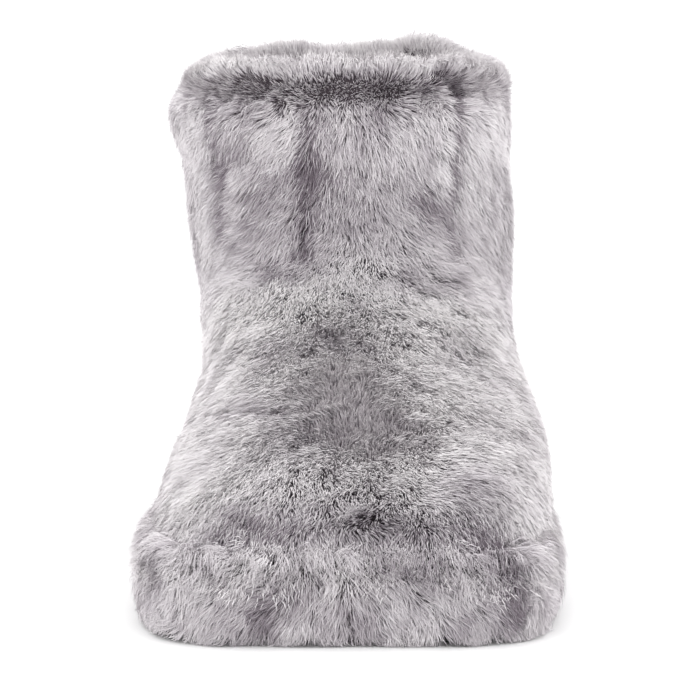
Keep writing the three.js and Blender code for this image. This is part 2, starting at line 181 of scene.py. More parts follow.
CUFF_ROLL = Table(
    ("up", "out"),
    ((0.0, 0.0), (0.15, 0.5), (0.38, 1.0), (0.66, 0.75), (0.86, -0.2), (1.0, -1.7)),
)


@dataclass(frozen=True)
class Outline:
    """A closed outline seen from above.

    Attributes:
        front: How far its toe end lies behind the slipper's own.
        back: How far its heel end does.
        ball_left: Its half width at the ball, on the outer side.
        ball_right: The same on the big-toe side.
        heel_left: Its half width at the heel, on the outer side.
        heel_right: The same on the big-toe side.
        toe_square: How square its toe end is, as a superellipse's exponent.
        heel_square: The same for its heel end.
        waist: How much it narrows at the waist, as a share.
        lean: How far it is shifted towards the big-toe side.
    """

    front: Array
    back: Array
    ball_left: Array
    ball_right: Array
    heel_left: Array
    heel_right: Array
    toe_square: Array
    heel_square: Array
    waist: Array
    lean: Array


@dataclass(frozen=True)
class Form:
    """The slipper's form in named sizes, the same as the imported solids'.

    Attributes:
        length: The greatest length.
        ball_width: The width of the sole at the ball.
        heel_width: The width of the sole at the heel.
        height: From the floor to the collar's top.
        instep_height: Where the instep ends and the ankle begins.
        shaft_width: The ankle's width.
        shaft_length: The ankle's length from front to back.
        shaft_back_setback: How far the ankle's back stands in front of the heel's end.
        toe_setback: How far the upper's toe stands behind the sole's.
        heel_setback: How far the upper's heel stands in front of the sole's.
        shaft_lean: How far the ankle leans to the outer side.
        waist: How much the sole narrows at the waist, as a share.
        wrap_base: The height of the band's lower edge.
        wrap_height: The height of the band's top.
        wrap_thickness: The band's thickness.
        toe_spring: How far the toe is lifted.
        toe_spring_length: How long the lifted stretch is.
        clearance: The gap between neighbours.
        fabric: The cloth's thickness, with its padding.
        pile: The dense pile's thickness.
        backing: The thickness of the fabric skins.
        platform_height: The height of the sole's platform.
        insole_thickness: The insole's thickness.
        seam_front_height: The height of the ankle seam in front.
        seam_back_height: The height of the ankle seam behind.
        collar_height: The height of the rolled collar.
        collar_swell: How far the collar's roll swells out.
        collar_slouch: How much more it does on the outer side.
        middle: Where the outlines' middle is.
    """

    length: float = 280
    ball_width: float = 135
    heel_width: float = 114
    height: float = 165.5
    instep_height: float = 100
    shaft_width: float = 112
    shaft_length: float = 134
    shaft_back_setback: float = 16
    toe_setback: float = 7
    heel_setback: float = 6
    shaft_lean: float = 3
    waist: float = 0.06
    wrap_base: float = 0.8
    wrap_height: float = 27
    wrap_thickness: float = 12
    toe_spring: float = 1.6
    toe_spring_length: float = 40
    clearance: float = 0.3
    fabric: float = 4.5
    pile: float = 6.5
    backing: float = 3.0
    platform_height: float = 13
    insole_thickness: float = 6
    seam_front_height: float = 98
    seam_back_height: float = 74
    collar_height: float = 33
    collar_swell: float = 2
    collar_slouch: float = 1.3
    middle: tuple[float, float] = (0.7, 0.0)

    @property
    def ledge(self) -> float:
        """The height of the top of the sole wrap, where the upper starts to show."""
        return self.wrap_height + self.clearance

    @property
    def wall(self) -> float:
        """The whole thickness of fabric and pile."""
        return self.fabric + self.pile

    def ring(self, shape: Outline, turn: Array, z: Array) -> Array:
        """Points of an outline: a superellipse whose exponent, width and middle change along the shoe.

        Args:
            shape: The outline.
            turn: Places round it: 0 is the toe, 0.25 the big-toe side, 0.5 the heel.
            z: Heights.

        Returns:
            The points, n by 3.
        """
        ahead, side = -np.cos(TURN * turn), np.sin(TURN * turn)
        square = mix(shape.toe_square, shape.heel_square, smooth(-0.4, 0.4, ahead))
        r = (np.abs(ahead) ** square + np.abs(side) ** square) ** (-1 / square)
        along = r * ahead
        back = smooth(-0.55, 0.65, along)
        pinch = shape.waist * np.exp(-(((along - 0.12) / 0.3) ** 2))
        right = mix(shape.ball_right, shape.heel_right, back) * (1 - pinch)
        left = mix(shape.ball_left, shape.heel_left, back) * (1 - 0.4 * pinch)
        x = np.where(side > 0, right, left) * r * side + shape.lean + self.middle[0]
        y = mix(shape.front, shape.back, (along + 1) / 2) - self.length / 2 + self.middle[1]
        return np.stack([x, y, np.broadcast_to(z, x.shape)], axis=-1)

    def sole(self, turn: Array, inset: Array, z: Array) -> Array:
        """The widest outline, which the sole and its wrap follow, moved inwards by an inset.

        Args:
            turn: Places round it.
            inset: How far it is moved inwards.
            z: Heights.

        Returns:
            The points, n by 3.
        """
        ball, heel = self.ball_width / 2, self.heel_width / 2
        shape = Outline(
            front=0,
            back=self.length,
            ball_left=1.01 * ball,
            ball_right=0.99 * ball,
            heel_left=0.88 * heel,
            heel_right=1.12 * heel,
            toe_square=5.6,
            heel_square=3,
            waist=self.waist,
            lean=0,
        )
        probe = 2e-3
        tangent = unit(self.ring(shape, turn + probe, z) - self.ring(shape, turn - probe, z))
        inward = np.stack([-tangent[..., 1], tangent[..., 0], 0 * tangent[..., 2]], axis=-1)
        return self.ring(shape, turn, z) + cover(inward, np.broadcast_to(inset, turn.shape))

    def level_height(self, rise: Array) -> Array:
        """The height of a rise: 0 is the top of the wrap, 1 the instep, 2 the top of the collar.

        Args:
            rise: Levels.

        Returns:
            Heights in millimetres.
        """
        low = mix(self.ledge, self.instep_height, rise)
        high = mix(self.instep_height, self.height, rise - 1)
        return np.where(rise < 1, low, high)

    def fur(self, turn: Array, rise: Array) -> Array:
        """The fur surface of upper, shaft and collar: an outline at each level from the table.

        Args:
            turn: Places round the shoe.
            rise: Levels.

        Returns:
            The points, n by 3.
        """
        low = np.clip(rise, 0, 1)
        ball = mix(self.ball_width, self.shaft_width, low) / 2
        heel = mix(self.heel_width, self.shaft_width, low) / 2
        shaft_back = self.length - self.shaft_back_setback
        shape = Outline(
            front=mix(self.toe_setback, shaft_back - self.shaft_length, LEVELS.read("reach", rise)),
            back=mix(self.length - self.heel_setback, shaft_back, LEVELS.read("heel", rise)),
            ball_left=ball * LEVELS.read("ballLeft", rise),
            ball_right=ball * LEVELS.read("ballRight", rise),
            heel_left=heel * LEVELS.read("heelLeft", rise),
            heel_right=heel * LEVELS.read("heelRight", rise),
            toe_square=LEVELS.read("toeSquare", rise),
            heel_square=LEVELS.read("heelSquare", rise),
            waist=self.waist * (1 - low),
            lean=-self.shaft_lean * smooth(0.8, 2, rise),
        )
        return self.ring(shape, turn, self.level_height(rise))

    def fur_out(self, turn: Array, rise: Array, probe: float) -> Array:
        """The fur surface's outward direction: the cross product of its two central differences.

        Args:
            turn: Places round the shoe.
            rise: Levels.
            probe: Half the differences' step.

        Returns:
            Unit directions, n by 3.
        """
        around = self.fur(turn + probe, rise) - self.fur(turn - probe, rise)
        up = self.fur(turn, rise + probe) - self.fur(turn, rise - probe)
        return unit(np.cross(around, up))

    def spring(self, y: Array) -> Array:
        """How far the toe is lifted off the floor: the square of the share left to its end."""
        share = np.clip(1 - (y + self.length / 2) / self.toe_spring_length, 0, 1)
        return self.toe_spring * share**2

    def seam_rise(self, turn: Array) -> Array:
        """The level of the ankle seam: high over the instep, lower behind.

        Args:
            turn: Places round the shoe.

        Returns:
            The levels, where 0 is the top of the wrap and 1 the instep.
        """
        ahead = (1 + np.cos(TURN * (turn + 0.02))) / 2
        z = mix(self.seam_back_height, self.seam_front_height, ahead**2)
        return (z - self.ledge) / (self.instep_height - self.ledge)

    def collar_level(self, up: Array) -> Array:
        """The level of a share of the collar's height."""
        return 2 - (1 - up) * self.collar_height / (self.height - self.instep_height)


@dataclass(frozen=True)
class Surface:
    """A fur surface over turn (round the shoe) and share (0 at its lower edge, 1 at its upper).

    Attributes:
        form: The slipper's sizes.
        probe: The step with which slopes are measured, in turn and in share.
        lowest: The least share of the shape's own; past it the surface runs on straight.
        highest: The greatest.
    """

    form: Form
    probe: float = 2e-3
    lowest: float = 0.0
    highest: float = 1.0

    def shape(self, turn: Array, share: Array) -> Array:
        """Points of the surface between its two edges."""
        raise NotImplementedError

    def point(self, turn: Array, share: Array) -> Array:
        """Points of the surface, run on in a straight line past its edges.

        Args:
            turn: Places round the shoe.
            share: Places up the surface, from its lower edge.

        Returns:
            The points, n by 3.
        """
        inside = np.clip(share, self.lowest, self.highest)
        points = self.shape(turn, inside)
        over = share - inside
        if np.any(over):
            step = np.where(over > 0, -self.probe, self.probe)
            slope = (self.shape(turn, inside + step) - points) / step[..., None]
            points = points + cover(slope, over)
        return points

    def slopes(self, turn: Array, share: Array) -> tuple[Array, Array]:
        """How a point moves for each unit of turn and of share, by central differences.

        Args:
            turn: Places round the shoe.
            share: Places up the surface, from its lower edge.

        Returns:
            The movements for turn and those for share, each n by 3.
        """
        h = self.probe
        around = (self.point(turn + h, share) - self.point(turn - h, share)) / (2 * h)
        up = (self.point(turn, share + h) - self.point(turn, share - h)) / (2 * h)
        return around, up

    def normal(self, turn: Array, share: Array) -> Array:
        """The outward normal: the cross product of the two slopes."""
        around, up = self.slopes(turn, share)
        return unit(np.cross(around, up))

    def inset(self, turn: Array, share: Array, depth: Array) -> Array:
        """Points moved inwards along the normal."""
        moved = cover(self.normal(turn, share), np.broadcast_to(depth, turn.shape))
        return self.point(turn, share) - moved

    def paces(self, turn: Array, share: Array, way: Array) -> tuple[Array, Array]:
        """Steps in turn and share that go one millimetre along directions laid on the surface.

        Args:
            turn: Places round the shoe.
            share: Places up the surface.
            way: Directions, n by 3.

        Returns:
            The steps in turn and the steps in share.
        """
        around, up = self.slopes(turn, share)
        aa, uu, au = (np.sum(p * q, axis=-1) for p, q in ((around, around), (up, up), (around, up)))
        da, du = np.sum(way * around, axis=-1), np.sum(way * up, axis=-1)
        whole = np.maximum(aa * uu - au * au, 1e-6)
        d_turn, d_share = (da * uu - du * au) / whole, (du * aa - da * au) / whole
        size = np.linalg.norm(cover(around, d_turn) + cover(up, d_share), axis=-1)
        size = np.maximum(size, 1e-6)
        return d_turn / size, d_share / size


@dataclass(frozen=True)
class UpperSurface(Surface):
    """The fur of foot and instep, from the sole wrap to the ankle seam. Below it runs on over the wrap.

    Attributes:
        lowest: The least share of the shape's own.
        highest: The greatest.
        lap: How far below the wrap's top it runs, as a share.
        wrap_share: How far up the wrap it ends.
    """

    lowest: float = -0.2
    highest: float = 1.1
    lap: float = 0.12
    wrap_share: float = 0.72

    def shape(self, turn: Array, share: Array) -> Array:
        """The fur surface at a share of the seam's level, then a straight run to the wrap's side.

        Args:
            turn: Places round the shoe.
            share: Places up the surface, from its lower edge.

        Returns:
            The points, n by 3.
        """
        points = self.form.fur(turn, np.maximum(share, 0) * self.form.seam_rise(turn))
        below = WrapSurface(self.form).shape(turn, self.wrap_share + 0 * share)
        return mix(points, below, (np.maximum(-share, 0) / self.lap)[..., None])


@dataclass(frozen=True)
class ShaftSurface(Surface):
    """The fur of the ankle, from the seam to the collar. It runs on over the instep below.

    Attributes:
        lowest: The least share of the shape's own.
    """

    lowest: float = -1.0

    def shape(self, turn: Array, share: Array) -> Array:
        """The fur surface between the seam's level and the collar's lower edge."""
        return self.form.fur(turn, mix(self.form.seam_rise(turn), self.form.collar_level(0.0), share))


def rim_sag(turn: Array) -> tuple[Array, Array, Array]:
    """How the rim sags. It drops at both sides by the sixth power of the sine of the turn. In front it
    rises on a flat-topped bell with small sine waves, and behind on two bells of their own.

    Args:
        turn: Places round the shoe.

    Returns:
        The drop, the way in (outwards below 0) and the rise, in millimetres.
    """
    left_drop, right_drop, lean = 4.5, 2.0, 1.8
    back_bells = ((0.415, 0.045, 4.5), (0.555, 0.035, 1.4))
    side = np.sin(TURN * turn)
    slouch = np.abs(side) ** 6
    drop = np.where(side < 0, left_drop, right_drop) * slouch
    draw_in = np.where(side < 0, lean, -lean) * slouch
    front = np.exp(-((((turn + 0.5) % 1.0 - 0.5) / 0.17) ** 4))
    rise = front * (3.0 + 0.6 * np.sin(TURN * 9 * turn + 1.0) + 0.5 * np.sin(TURN * 16 * turn + 2.4))
    for middle, width, height in back_bells:
        rise = rise + height * np.exp(-(((turn % 1.0 - middle) / width) ** 2))
    return drop, draw_in, rise


@dataclass(frozen=True)
class CollarSurface(Surface):
    """The rolled fur collar. Its fur runs on over the ankle below.

    Attributes:
        lowest: The least share of the shape's own.
        roll: The profile of the roll.
    """

    lowest: float = -1.0
    roll: Table = CUFF_ROLL

    def shape(self, turn: Array, share: Array) -> Array:
        """The fur surface, swollen by the roll's profile and more so on the outer side.

        Args:
            turn: Places round the shoe.
            share: Places up the surface, from its lower edge.

        Returns:
            The points, n by 3.
        """
        form = self.form
        level = form.collar_level(share)
        out = form.fur_out(turn, level, self.probe)
        swell = form.collar_swell - form.collar_slouch * np.sin(TURN * turn)
        drop, draw_in, _ = rim_sag(turn)
        high = smooth(0.35, 1.0, share)
        drawn = draw_in * np.where(draw_in > 0, high, smooth(0.0, 0.5, share))
        points = form.fur(turn, level) + cover(out, self.roll.read("out", share) * swell - drawn)
        points[..., 2] -= drop * high
        return points


@dataclass(frozen=True)
class RimSurface(Surface):
    """The fur over the rim, from outside (0) over the top (0.5) to inside (1).

    Attributes:
        tall: How far below the rim's top it begins and ends.
        outside: How far outside the fur surface it begins.
        inside: How far past the wall it ends.
    """

    tall: float = 10.0
    outside: float = 0.3
    inside: float = 1.0

    def shape(self, turn: Array, share: Array) -> Array:
        """A half-round over the wall: its height follows the sine of the half turn, its way in the
        cosine. It drops, leans and rises as rim_sag says.

        Args:
            turn: Places round the shoe.
            share: Places over the rim, from outside.

        Returns:
            The points, n by 3.
        """
        form = self.form
        bow = math.pi * share
        level = 2 - self.tall * (1 - np.sin(bow)) / (form.height - form.instep_height)
        out = form.fur_out(turn, level, self.probe)
        depth = mix(-self.outside, form.wall + self.inside, (1 - np.cos(bow)) / 2)
        drop, draw_in, rise = rim_sag(turn)
        points = form.fur(turn, level) - cover(out, depth + draw_in)
        points[..., 2] += rise - drop
        return points


@dataclass(frozen=True)
class WrapSurface(Surface):
    """The fur band round the sole's side."""

    def shape(self, turn: Array, share: Array) -> Array:
        """The widest outline, inset by the band's profile and lifted with the toe at its foot.

        Args:
            turn: Places round the shoe.
            share: Places up the surface, from its lower edge.

        Returns:
            The points, n by 3.
        """
        form = self.form
        inset = form.wrap_thickness * WRAP_SIDE.read("inset", share)
        points = form.sole(turn, inset, 0 * share)
        points[..., 2] = mix(form.wrap_base + form.spring(points[..., 1]), form.wrap_height, share)
        return points


@dataclass(frozen=True)
class LiningSurface(Surface):
    """The inner face of collar and shaft, from deep inside (0) to the rim (1), facing inwards.

    Attributes:
        deep: The level at which it begins.
        flare: How much nearer the fur surface it is at the rim, in millimetres.
    """

    deep: float = 1.05
    flare: float = 2.5

    def shape(self, turn: Array, share: Array) -> Array:
        """The fur surface moved in by the wall's thickness, read round the other way.

        Args:
            turn: Places round the shoe, the other way.
            share: Places up the lining.

        Returns:
            The points, n by 3.
        """
        form = self.form
        level = mix(self.deep, 2.0, share)
        back = -turn
        out = form.fur_out(back, level, self.probe)
        depth = form.wall - self.flare * smooth(0.75, 1.0, share)
        return form.fur(back, level) - cover(out, depth)


@dataclass(frozen=True)
class Streak:
    """A place where the fur parts, dips or rises along a line between two points of its surface; its strands
    get painted shade there, or painted light where its dark is below 0.

    Attributes:
        start: One end, in millimetres.
        end: The other end.
        radius: How far the effect spreads.
        dark: How much darker its strands are painted, as shade in creases and partings, from 0 to 1; below 0
            they are painted lighter, as light.
        part: How strongly the strands turn away from the line.
        sink: How far the tips sink, in millimetres.
        upright: How much of their run along the surface the strands lose, from 0 to 1.
    """

    start: tuple[float, float, float]
    end: tuple[float, float, float]
    radius: float
    dark: float
    part: float = 0.0
    sink: float = 0.0
    upright: float = 0.0

    def reach(self, points: Array) -> tuple[Array, Array]:
        """The effect's share at points, exp(-(d / radius)^2), and the unit directions away from the line.

        Args:
            points: Places, n by 3.

        Returns:
            The shares and the directions.
        """
        a, b = np.array(self.start, float), np.array(self.end, float)
        line = b - a
        t = np.clip(((points - a) @ line) / max(line @ line, 1e-6), 0, 1)
        away = points - a - t[:, None] * line
        d = np.linalg.norm(away, axis=1)
        return np.exp(-((d / self.radius) ** 2)), away / np.maximum(d, 1e-6)[:, None]


class Comb(Enum):
    """How the fur lies: its spread to both sides, its run along the shoe, its rise and its way out."""

    UPPER = (0.5, -0.3, -1.0, 0.0)
    SHAFT = (1.6, 0.0, -1.0, 0.0)
    CUFF = (1.6, 0.0, -1.0, 0.0)
    RIM = (0.3, 0.0, 1.0, 0.7)
    WRAP = (1.0, 0.1, -1.0, 0.0)
    LINING = (0.0, 0.0, 1.0, -0.3)

    def ways(self, turn: Array) -> Array:
        """The directions at places round the shoe.

        Args:
            turn: Places round the shoe.

        Returns:
            Directions, n by 3.
        """
        spread, along, up, out = self.value
        side, ahead = np.sin(TURN * turn), np.cos(TURN * turn)
        return np.stack([(spread + out) * side, along - out * ahead, up + 0 * side], axis=-1)


STRAND_STEPS = np.array([0.0, 0.64, 1.0])
STRAND_FACES = np.array([(0, 1, 2), (3, 2, 1)])


@dataclass
class Strands:
    """Grown strands.

    Attributes:
        points: Root, middle and tip of each, n by 3 by 3.
        sides: The direction across each, n by 3.
        width: How wide each is at its middle.
        tone: How light each is, from 0 to 1.
        pale: How much of each one's dark root is hidden, from 0 to 1.
    """

    points: Array
    sides: Array
    width: Array
    tone: Array
    pale: Array

    def mesh(self, name: str) -> bpy.types.Mesh:
        """One mesh of all strands: each is a root, a pair of corners across its middle, and a tip.

        Args:
            name: The mesh's name.

        Returns:
            The mesh, with attributes along (0 at the root, 1 at the tip) and tone, and a bake map in
            which each strand has its own cell.
        """
        n = len(self.points)
        half = cover(self.sides, self.width / 2)
        root, middle, tip = np.moveaxis(self.points, 1, 0)
        places = np.stack([root, middle + half, middle - half, tip], axis=1)
        corners = places.shape[1]
        faces = (np.arange(n)[:, None, None] * corners + STRAND_FACES).reshape(-1, 3)
        along = STRAND_STEPS[[0, 1, 1, 2]]
        across = np.array([0.5, 1.0, 0.0, 0.5])
        side = math.ceil(math.sqrt(n))
        cell = np.arange(n)[:, None]
        margin = 0.12
        u = (cell % side + margin + (1 - 2 * margin) * across) / side
        v = (cell // side + margin + (1 - 2 * margin) * along) / side
        flat = np.stack([u, v], axis=-1).reshape(-1, 2)
        made = build_mesh(name, places.reshape(-1, 3), faces, flat[faces.ravel()])
        begun = mix(self.pale[:, None], 1.0, along)
        for label, values in (("along", begun.ravel()), ("tone", np.repeat(self.tone, corners))):
            layer = made.attributes.new(label, "FLOAT", "POINT")
            layer.data.foreach_set("value", values.astype(np.float32))
        return made


def build_mesh(name: str, points: Array, faces: Array, flat: Array) -> bpy.types.Mesh:
    """A smooth-shaded mesh from arrays.

    Args:
        name: The mesh's name.
        points: Places in millimetres, n by 3.
        faces: Corner numbers, one row a face, all with as many corners.
        flat: The bake map's place for each corner of each face.

    Returns:
        The mesh, in metres.
    """
    made = bpy.data.meshes.new(name)
    count, sides = faces.shape
    made.vertices.add(len(points))
    made.vertices.foreach_set("co", (points * MM).astype(np.float32).ravel())
    made.loops.add(count * sides)
    made.loops.foreach_set("vertex_index", faces.astype(np.int32).ravel())
    made.polygons.add(count)
    made.polygons.foreach_set("loop_start", np.arange(0, count * sides, sides, dtype=np.int32))
    made.polygons.foreach_set("use_smooth", np.ones(count, dtype=bool))
    made.update(calc_edges=True)
    layer = made.uv_layers.new(name="OFBake")
    layer.data.foreach_set("uv", flat.astype(np.float32).ravel())
    return made


def place(
    made: bpy.types.Mesh, look: bpy.types.Material, nodes: tuple[str, ...]
) -> bpy.types.Object:
    """Puts a mesh in the scene as one piece.

    Args:
        made: The mesh, with the piece's name.
        look: Its material.
        nodes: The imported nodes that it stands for, if any.

    Returns:
        The piece.
    """
    piece = bpy.data.objects.new(made.name, made)
    bpy.context.scene.collection.objects.link(piece)
    made.materials.append(look)
    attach(piece, "root")
    for node in nodes:
        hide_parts(node)
    log.info("%s: %d faces", piece.name, len(made.polygons))
    return piece


@dataclass(frozen=True)
class Habit:
    """How the plush grows in every stretch of fur. Lengths are in millimetres.

    Attributes:
        unlike: The least and the greatest share of a coat's run and width that a strand has.
        upright_run: How much of its run a strand loses where it stands upright.
        upright_draw: How much less it is drawn to its lock there.
        flat_root: The share of its root's depth that it has where it lies flat.
        flat_rise: The power by which a flat strand rises: the higher, the sooner it is at its height.
        upright_rise: The same for an upright one.
        ledge_reach: How far from the top of the band the fur still stands further out.
        ledge_side: The share of this that is left at the shoe's sides.
        uneven: How far single tips stand over or under the others.
        parted: How much deeper the tips lie between two locks.
        layered: How far whole locks stand over or under the others.
        highest: How far a tip may stand over the coat's own.
        guard_out: How much further the finest strands stand out.
        guard_width: The share of a strand's width that they have.
        floor_gap: How far every strand stays above the floor.
        draw_power: The power of the place along a strand by which it is drawn to its lock.
        run_power: The power of that place by which it runs along the surface.
        edge: The share of a stretch in which its edges are ragged.
        eased: The share in which its tips sink at the edges.
        tone_spread: How much single tones differ, and how much more where strands stand upright.
        lock_tone: How much whole locks differ in tone.
        painted_gap_shade_share: The share of a coat's painted shade between locks that flat strands get, and
            how much more upright ones do.
        dark_share: The least share of a streak's dark, its painted shade and light, that a strand gets, and
            how much chance adds.
        tip_waves: Soft waves in the tips: their size, height and seed.
        lie_waves: Soft waves in the lie: their size, strength and seed.
        swirl_wave: Soft waves in how upright strands lean: their size and seed.
        tone_waves: Soft patches of tone: their size and seed.
        edge_wave: Soft waves in the edges: their size and seed.
        seed_step: How far apart two coats' seeds of the lie are.
    """

    unlike: tuple[float, float] = (0.65, 1.3)
    upright_run: float = 0.72
    upright_draw: float = 0.6
    flat_root: float = 0.75
    flat_rise: float = 2.0
    upright_rise: float = 1.35
    ledge_reach: float = 6.0
    ledge_side: float = 0.45
    uneven: float = 0.35
    parted: float = 0.7
    layered: float = 0.8
    highest: float = 1.6
    guard_out: float = 1.2
    guard_width: float = 0.65
    floor_gap: float = 0.3
    draw_power: float = 1.3
    run_power: float = 1.25
    edge: float = 0.35
    eased: float = 0.22
    tone_spread: tuple[float, float] = (0.04, 0.1)
    lock_tone: float = 0.05
    painted_gap_shade_share: tuple[float, float] = (0.2, 3.0)
    dark_share: tuple[float, float] = (0.25, 1.5)
    tip_waves: tuple[tuple[float, float, int], ...] = ((24.0, 0.45, 40), (9.0, 0.3, 41))
    lie_waves: tuple[tuple[float, float, int], ...] = ((50.0, 0.8, 5), (19.0, 0.6, 6), (8.0, 0.5, 8))
    swirl_wave: tuple[float, int] = (11.0, 9)
    tone_waves: tuple[tuple[float, int], ...] = ((22.0, 50), (8.0, 51))
    edge_wave: tuple[float, int] = (12.0, 60)
    seed_step: int = 31


@dataclass
class Coat:
    """One stretch of fur.

    Attributes:
        name: The piece's name.
        surface: Where the tips end.
        comb: How it lies.
        strands: How many strands it has.
        turns: The turns between which it grows.
        shares: The shares between which it grows.
        run: How far a strand reaches along the surface, in millimetres.
        width: Its greatest width.
        root: How deep it is rooted.
        tip: How far the tips stand over the surface.
        fill: How much further they stand along the top of the sole wrap.
        lock: The size of a lock, within which strands draw together.
        draw: How strongly they do.
        wander: How much the lie swirls.
        stray: How far single strands turn away.
        tuft: How far each lock turns away as a whole.
        swirl: How far strands that stand upright lean in soft swirls.
        lift_at: The share at which strands stand upright.
        lift_wide: How far from there they still do, or 0 where none stand up.
        ease: How far the tips sink at the lower and at the upper edge, in millimetres.
        ragged: How uneven the two edges are, as a share.
        painted_gap_shade: How much darker the strands between two locks are painted, as the shade that falls
            there.
        mottle: How much soft patches differ in tone.
        pale: How much of the dark roots is hidden where strands lie flat.
        roll: How far single strands twist out of the surface.
        guards: The share of finer strands that stand out furthest.
        tone: How light it is, from 0 to 1.
        streaks: The creases and partings, which carry painted shade, and the places of painted light.
        seed: Picks the random draws.
        habit: How the plush grows.
    """

    name: str
    surface: Surface
    comb: Comb
    strands: int
    turns: tuple[float, float] = (0.0, 1.0)
    shares: tuple[float, float] = (0.0, 1.0)
    run: float = 6.6
    width: float = 0.25
    root: float = 8.0
    tip: float = -0.3
    fill: float = 0.0
    lock: float = 2.4
    draw: float = 0.3
    wander: float = 0.3
    stray: float = 0.4
    tuft: float = 0.3
    swirl: float = 1.3
    lift_at: float = 0.0
    lift_wide: float = 0.0
    ease: tuple[float, float] = (0.0, 0.0)
    ragged: float = 0.03
    painted_gap_shade: float = 0.15
    mottle: float = 0.05
    pale: float = 0.5
    roll: float = 0.35
    guards: float = 0.12
    tone: float = 0.6
    streaks: tuple[Streak, ...] = ()
    seed: int = 1
    habit: Habit = Habit()

    def scatter(self, rng: np.random.Generator) -> tuple[Array, Array]:
        """Roots spread evenly by area: cells of a grid are drawn as often as they are large.

        Args:
            rng: The random draws.

        Returns:
            Turns and shares.
        """
        columns, rows = 360, 48
        t, s = np.meshgrid((np.arange(columns) + 0.5) / columns, (np.arange(rows) + 0.5) / rows)
        turn = mix(*self.turns, t.ravel())
        share = mix(*self.shares, s.ravel())
        around, up = self.surface.slopes(turn, share)
        size = np.linalg.norm(np.cross(around, up), axis=-1)
        total = np.cumsum(size) / size.sum()
        draws = (np.arange(self.strands) + rng.random(self.strands)) / self.strands
        cell = np.minimum(np.searchsorted(total, draws), len(total) - 1)
        turn_step = (self.turns[1] - self.turns[0]) / columns
        share_step = (self.shares[1] - self.shares[0]) / rows
        turn = turn[cell] + (rng.random(self.strands) - 0.5) * turn_step
        share = share[cell] + (rng.random(self.strands) - 0.5) * share_step
        return turn, share

    def field(self, points: Array) -> dict[str, Array]:
        """The streaks' joint effect at points: dark, sink, upright and the push away from partings.

        Args:
            points: Places, n by 3.

        Returns:
            The four effects by name, the push n by 3 and the others one number for each place.
        """
        joint = {name: np.zeros(len(points)) for name in ("dark", "sink", "upright")}
        joint["push"] = np.zeros(points.shape)
        for streak in self.streaks:
            share, away = streak.reach(points)
            for name in ("dark", "sink", "upright"):
                joint[name] += getattr(streak, name) * share
            joint["push"] += cover(away, streak.part * share)
        return joint

    def lie(
        self, turn: Array, share: Array, stray: Array, chance: Array
    ) -> tuple[Array, Array, dict[str, Array]]:
        """The steps that follow the comb, bent by partings, by soft swirls, by each lock's own turn
        and by each strand's.

        Args:
            turn: Turns.
            share: Shares.
            stray: How far each strand turns away.
            chance: A random number from 0 to 1 for each strand's lock.

        Returns:
            Steps in turn and share for each millimetre, and the streaks' effect there.
        """
        points = self.surface.point(turn, share)
        joint = self.field(points)
        if self.lift_wide:
            joint["upright"] += np.exp(-(((share - self.lift_at) / self.lift_wide) ** 2))
        joint["upright"] = np.clip(joint["upright"], 0, 1)
        way = unit(self.comb.ways(turn)) + joint["push"]
        normal = self.surface.normal(turn, share)
        across = np.cross(normal, way)
        bend = stray + (2 * chance - 1) * self.tuft
        first = self.seed * self.habit.seed_step
        size, seed = self.habit.swirl_wave
        bend += self.swirl * joint["upright"] * Waves(size, first + seed).at(points)
        for size, amount, seed in self.habit.lie_waves:
            bend += self.wander * amount * Waves(size, first + seed).at(points)
        d_turn, d_share = self.surface.paces(turn, share, way + cover(across, bend))
        return d_turn, d_share, joint

    def guides(self, turn: Array, share: Array) -> tuple[Array, Array, Array]:
        """The nearest lock's root for each strand: one point thrown in each cell of a grid. A throw is
        the fraction left of a large multiple of the sine of the cell's number.

        Args:
            turn: Turns.
            share: Shares.

        Returns:
            The turns and shares of the locks' roots, and a random number from 0 to 1 for each lock.
        """
        sample = slice(200)
        around, up = self.surface.slopes(turn[sample], share[sample])
        round_mm = float(np.median(np.linalg.norm(around, axis=-1)))
        high_mm = float(np.median(np.linalg.norm(up, axis=-1)))
        size, seed = self.lock, self.seed + 7
        column_step, row_step, large = 12.9898, 78.233, 43758.5
        a, b = turn * round_mm / size, share * high_mm / size
        best = np.full(len(turn), 1e9)
        found = [np.zeros(len(turn)) for _ in range(3)]
        for da in (-1, 0, 1):
            for db in (-1, 0, 1):
                i, j = np.floor(a) + da, np.floor(b) + db
                number = i * column_step + j * row_step + seed
                throw = [np.modf(np.abs(np.sin(number + k) * large))[0] for k in range(3)]
                ga, gb = i + throw[0], j + throw[1]
                far = (ga - a) ** 2 + (gb - b) ** 2
                near = far < best
                best = np.where(near, far, best)
                for k, value in enumerate((ga * size / round_mm, gb * size / high_mm, throw[2])):
                    found[k] = np.where(near, value, found[k])
        return found[0], found[1], found[2]

    def edge_shift(self, rng: np.random.Generator, turn: Array, share: Array, up: Array) -> Array:
        """How far roots move up or down near the two edges, by chance and in waves.

        Args:
            rng: The random draws.
            turn: Turns.
            share: Shares.
            up: How far up the stretch each is, from 0 to 1.

        Returns:
            The shifts, as shares.
        """
        edge, single = self.habit.edge, 0.8
        near_edge = smooth(1 - edge, 1, up) + 1 - smooth(0, edge, up)
        size, seed = self.habit.edge_wave
        waves = Waves(size, self.seed + seed).at(self.surface.point(turn, share))
        return self.ragged * near_edge * (single * rng.normal(size=len(up)) + waves)

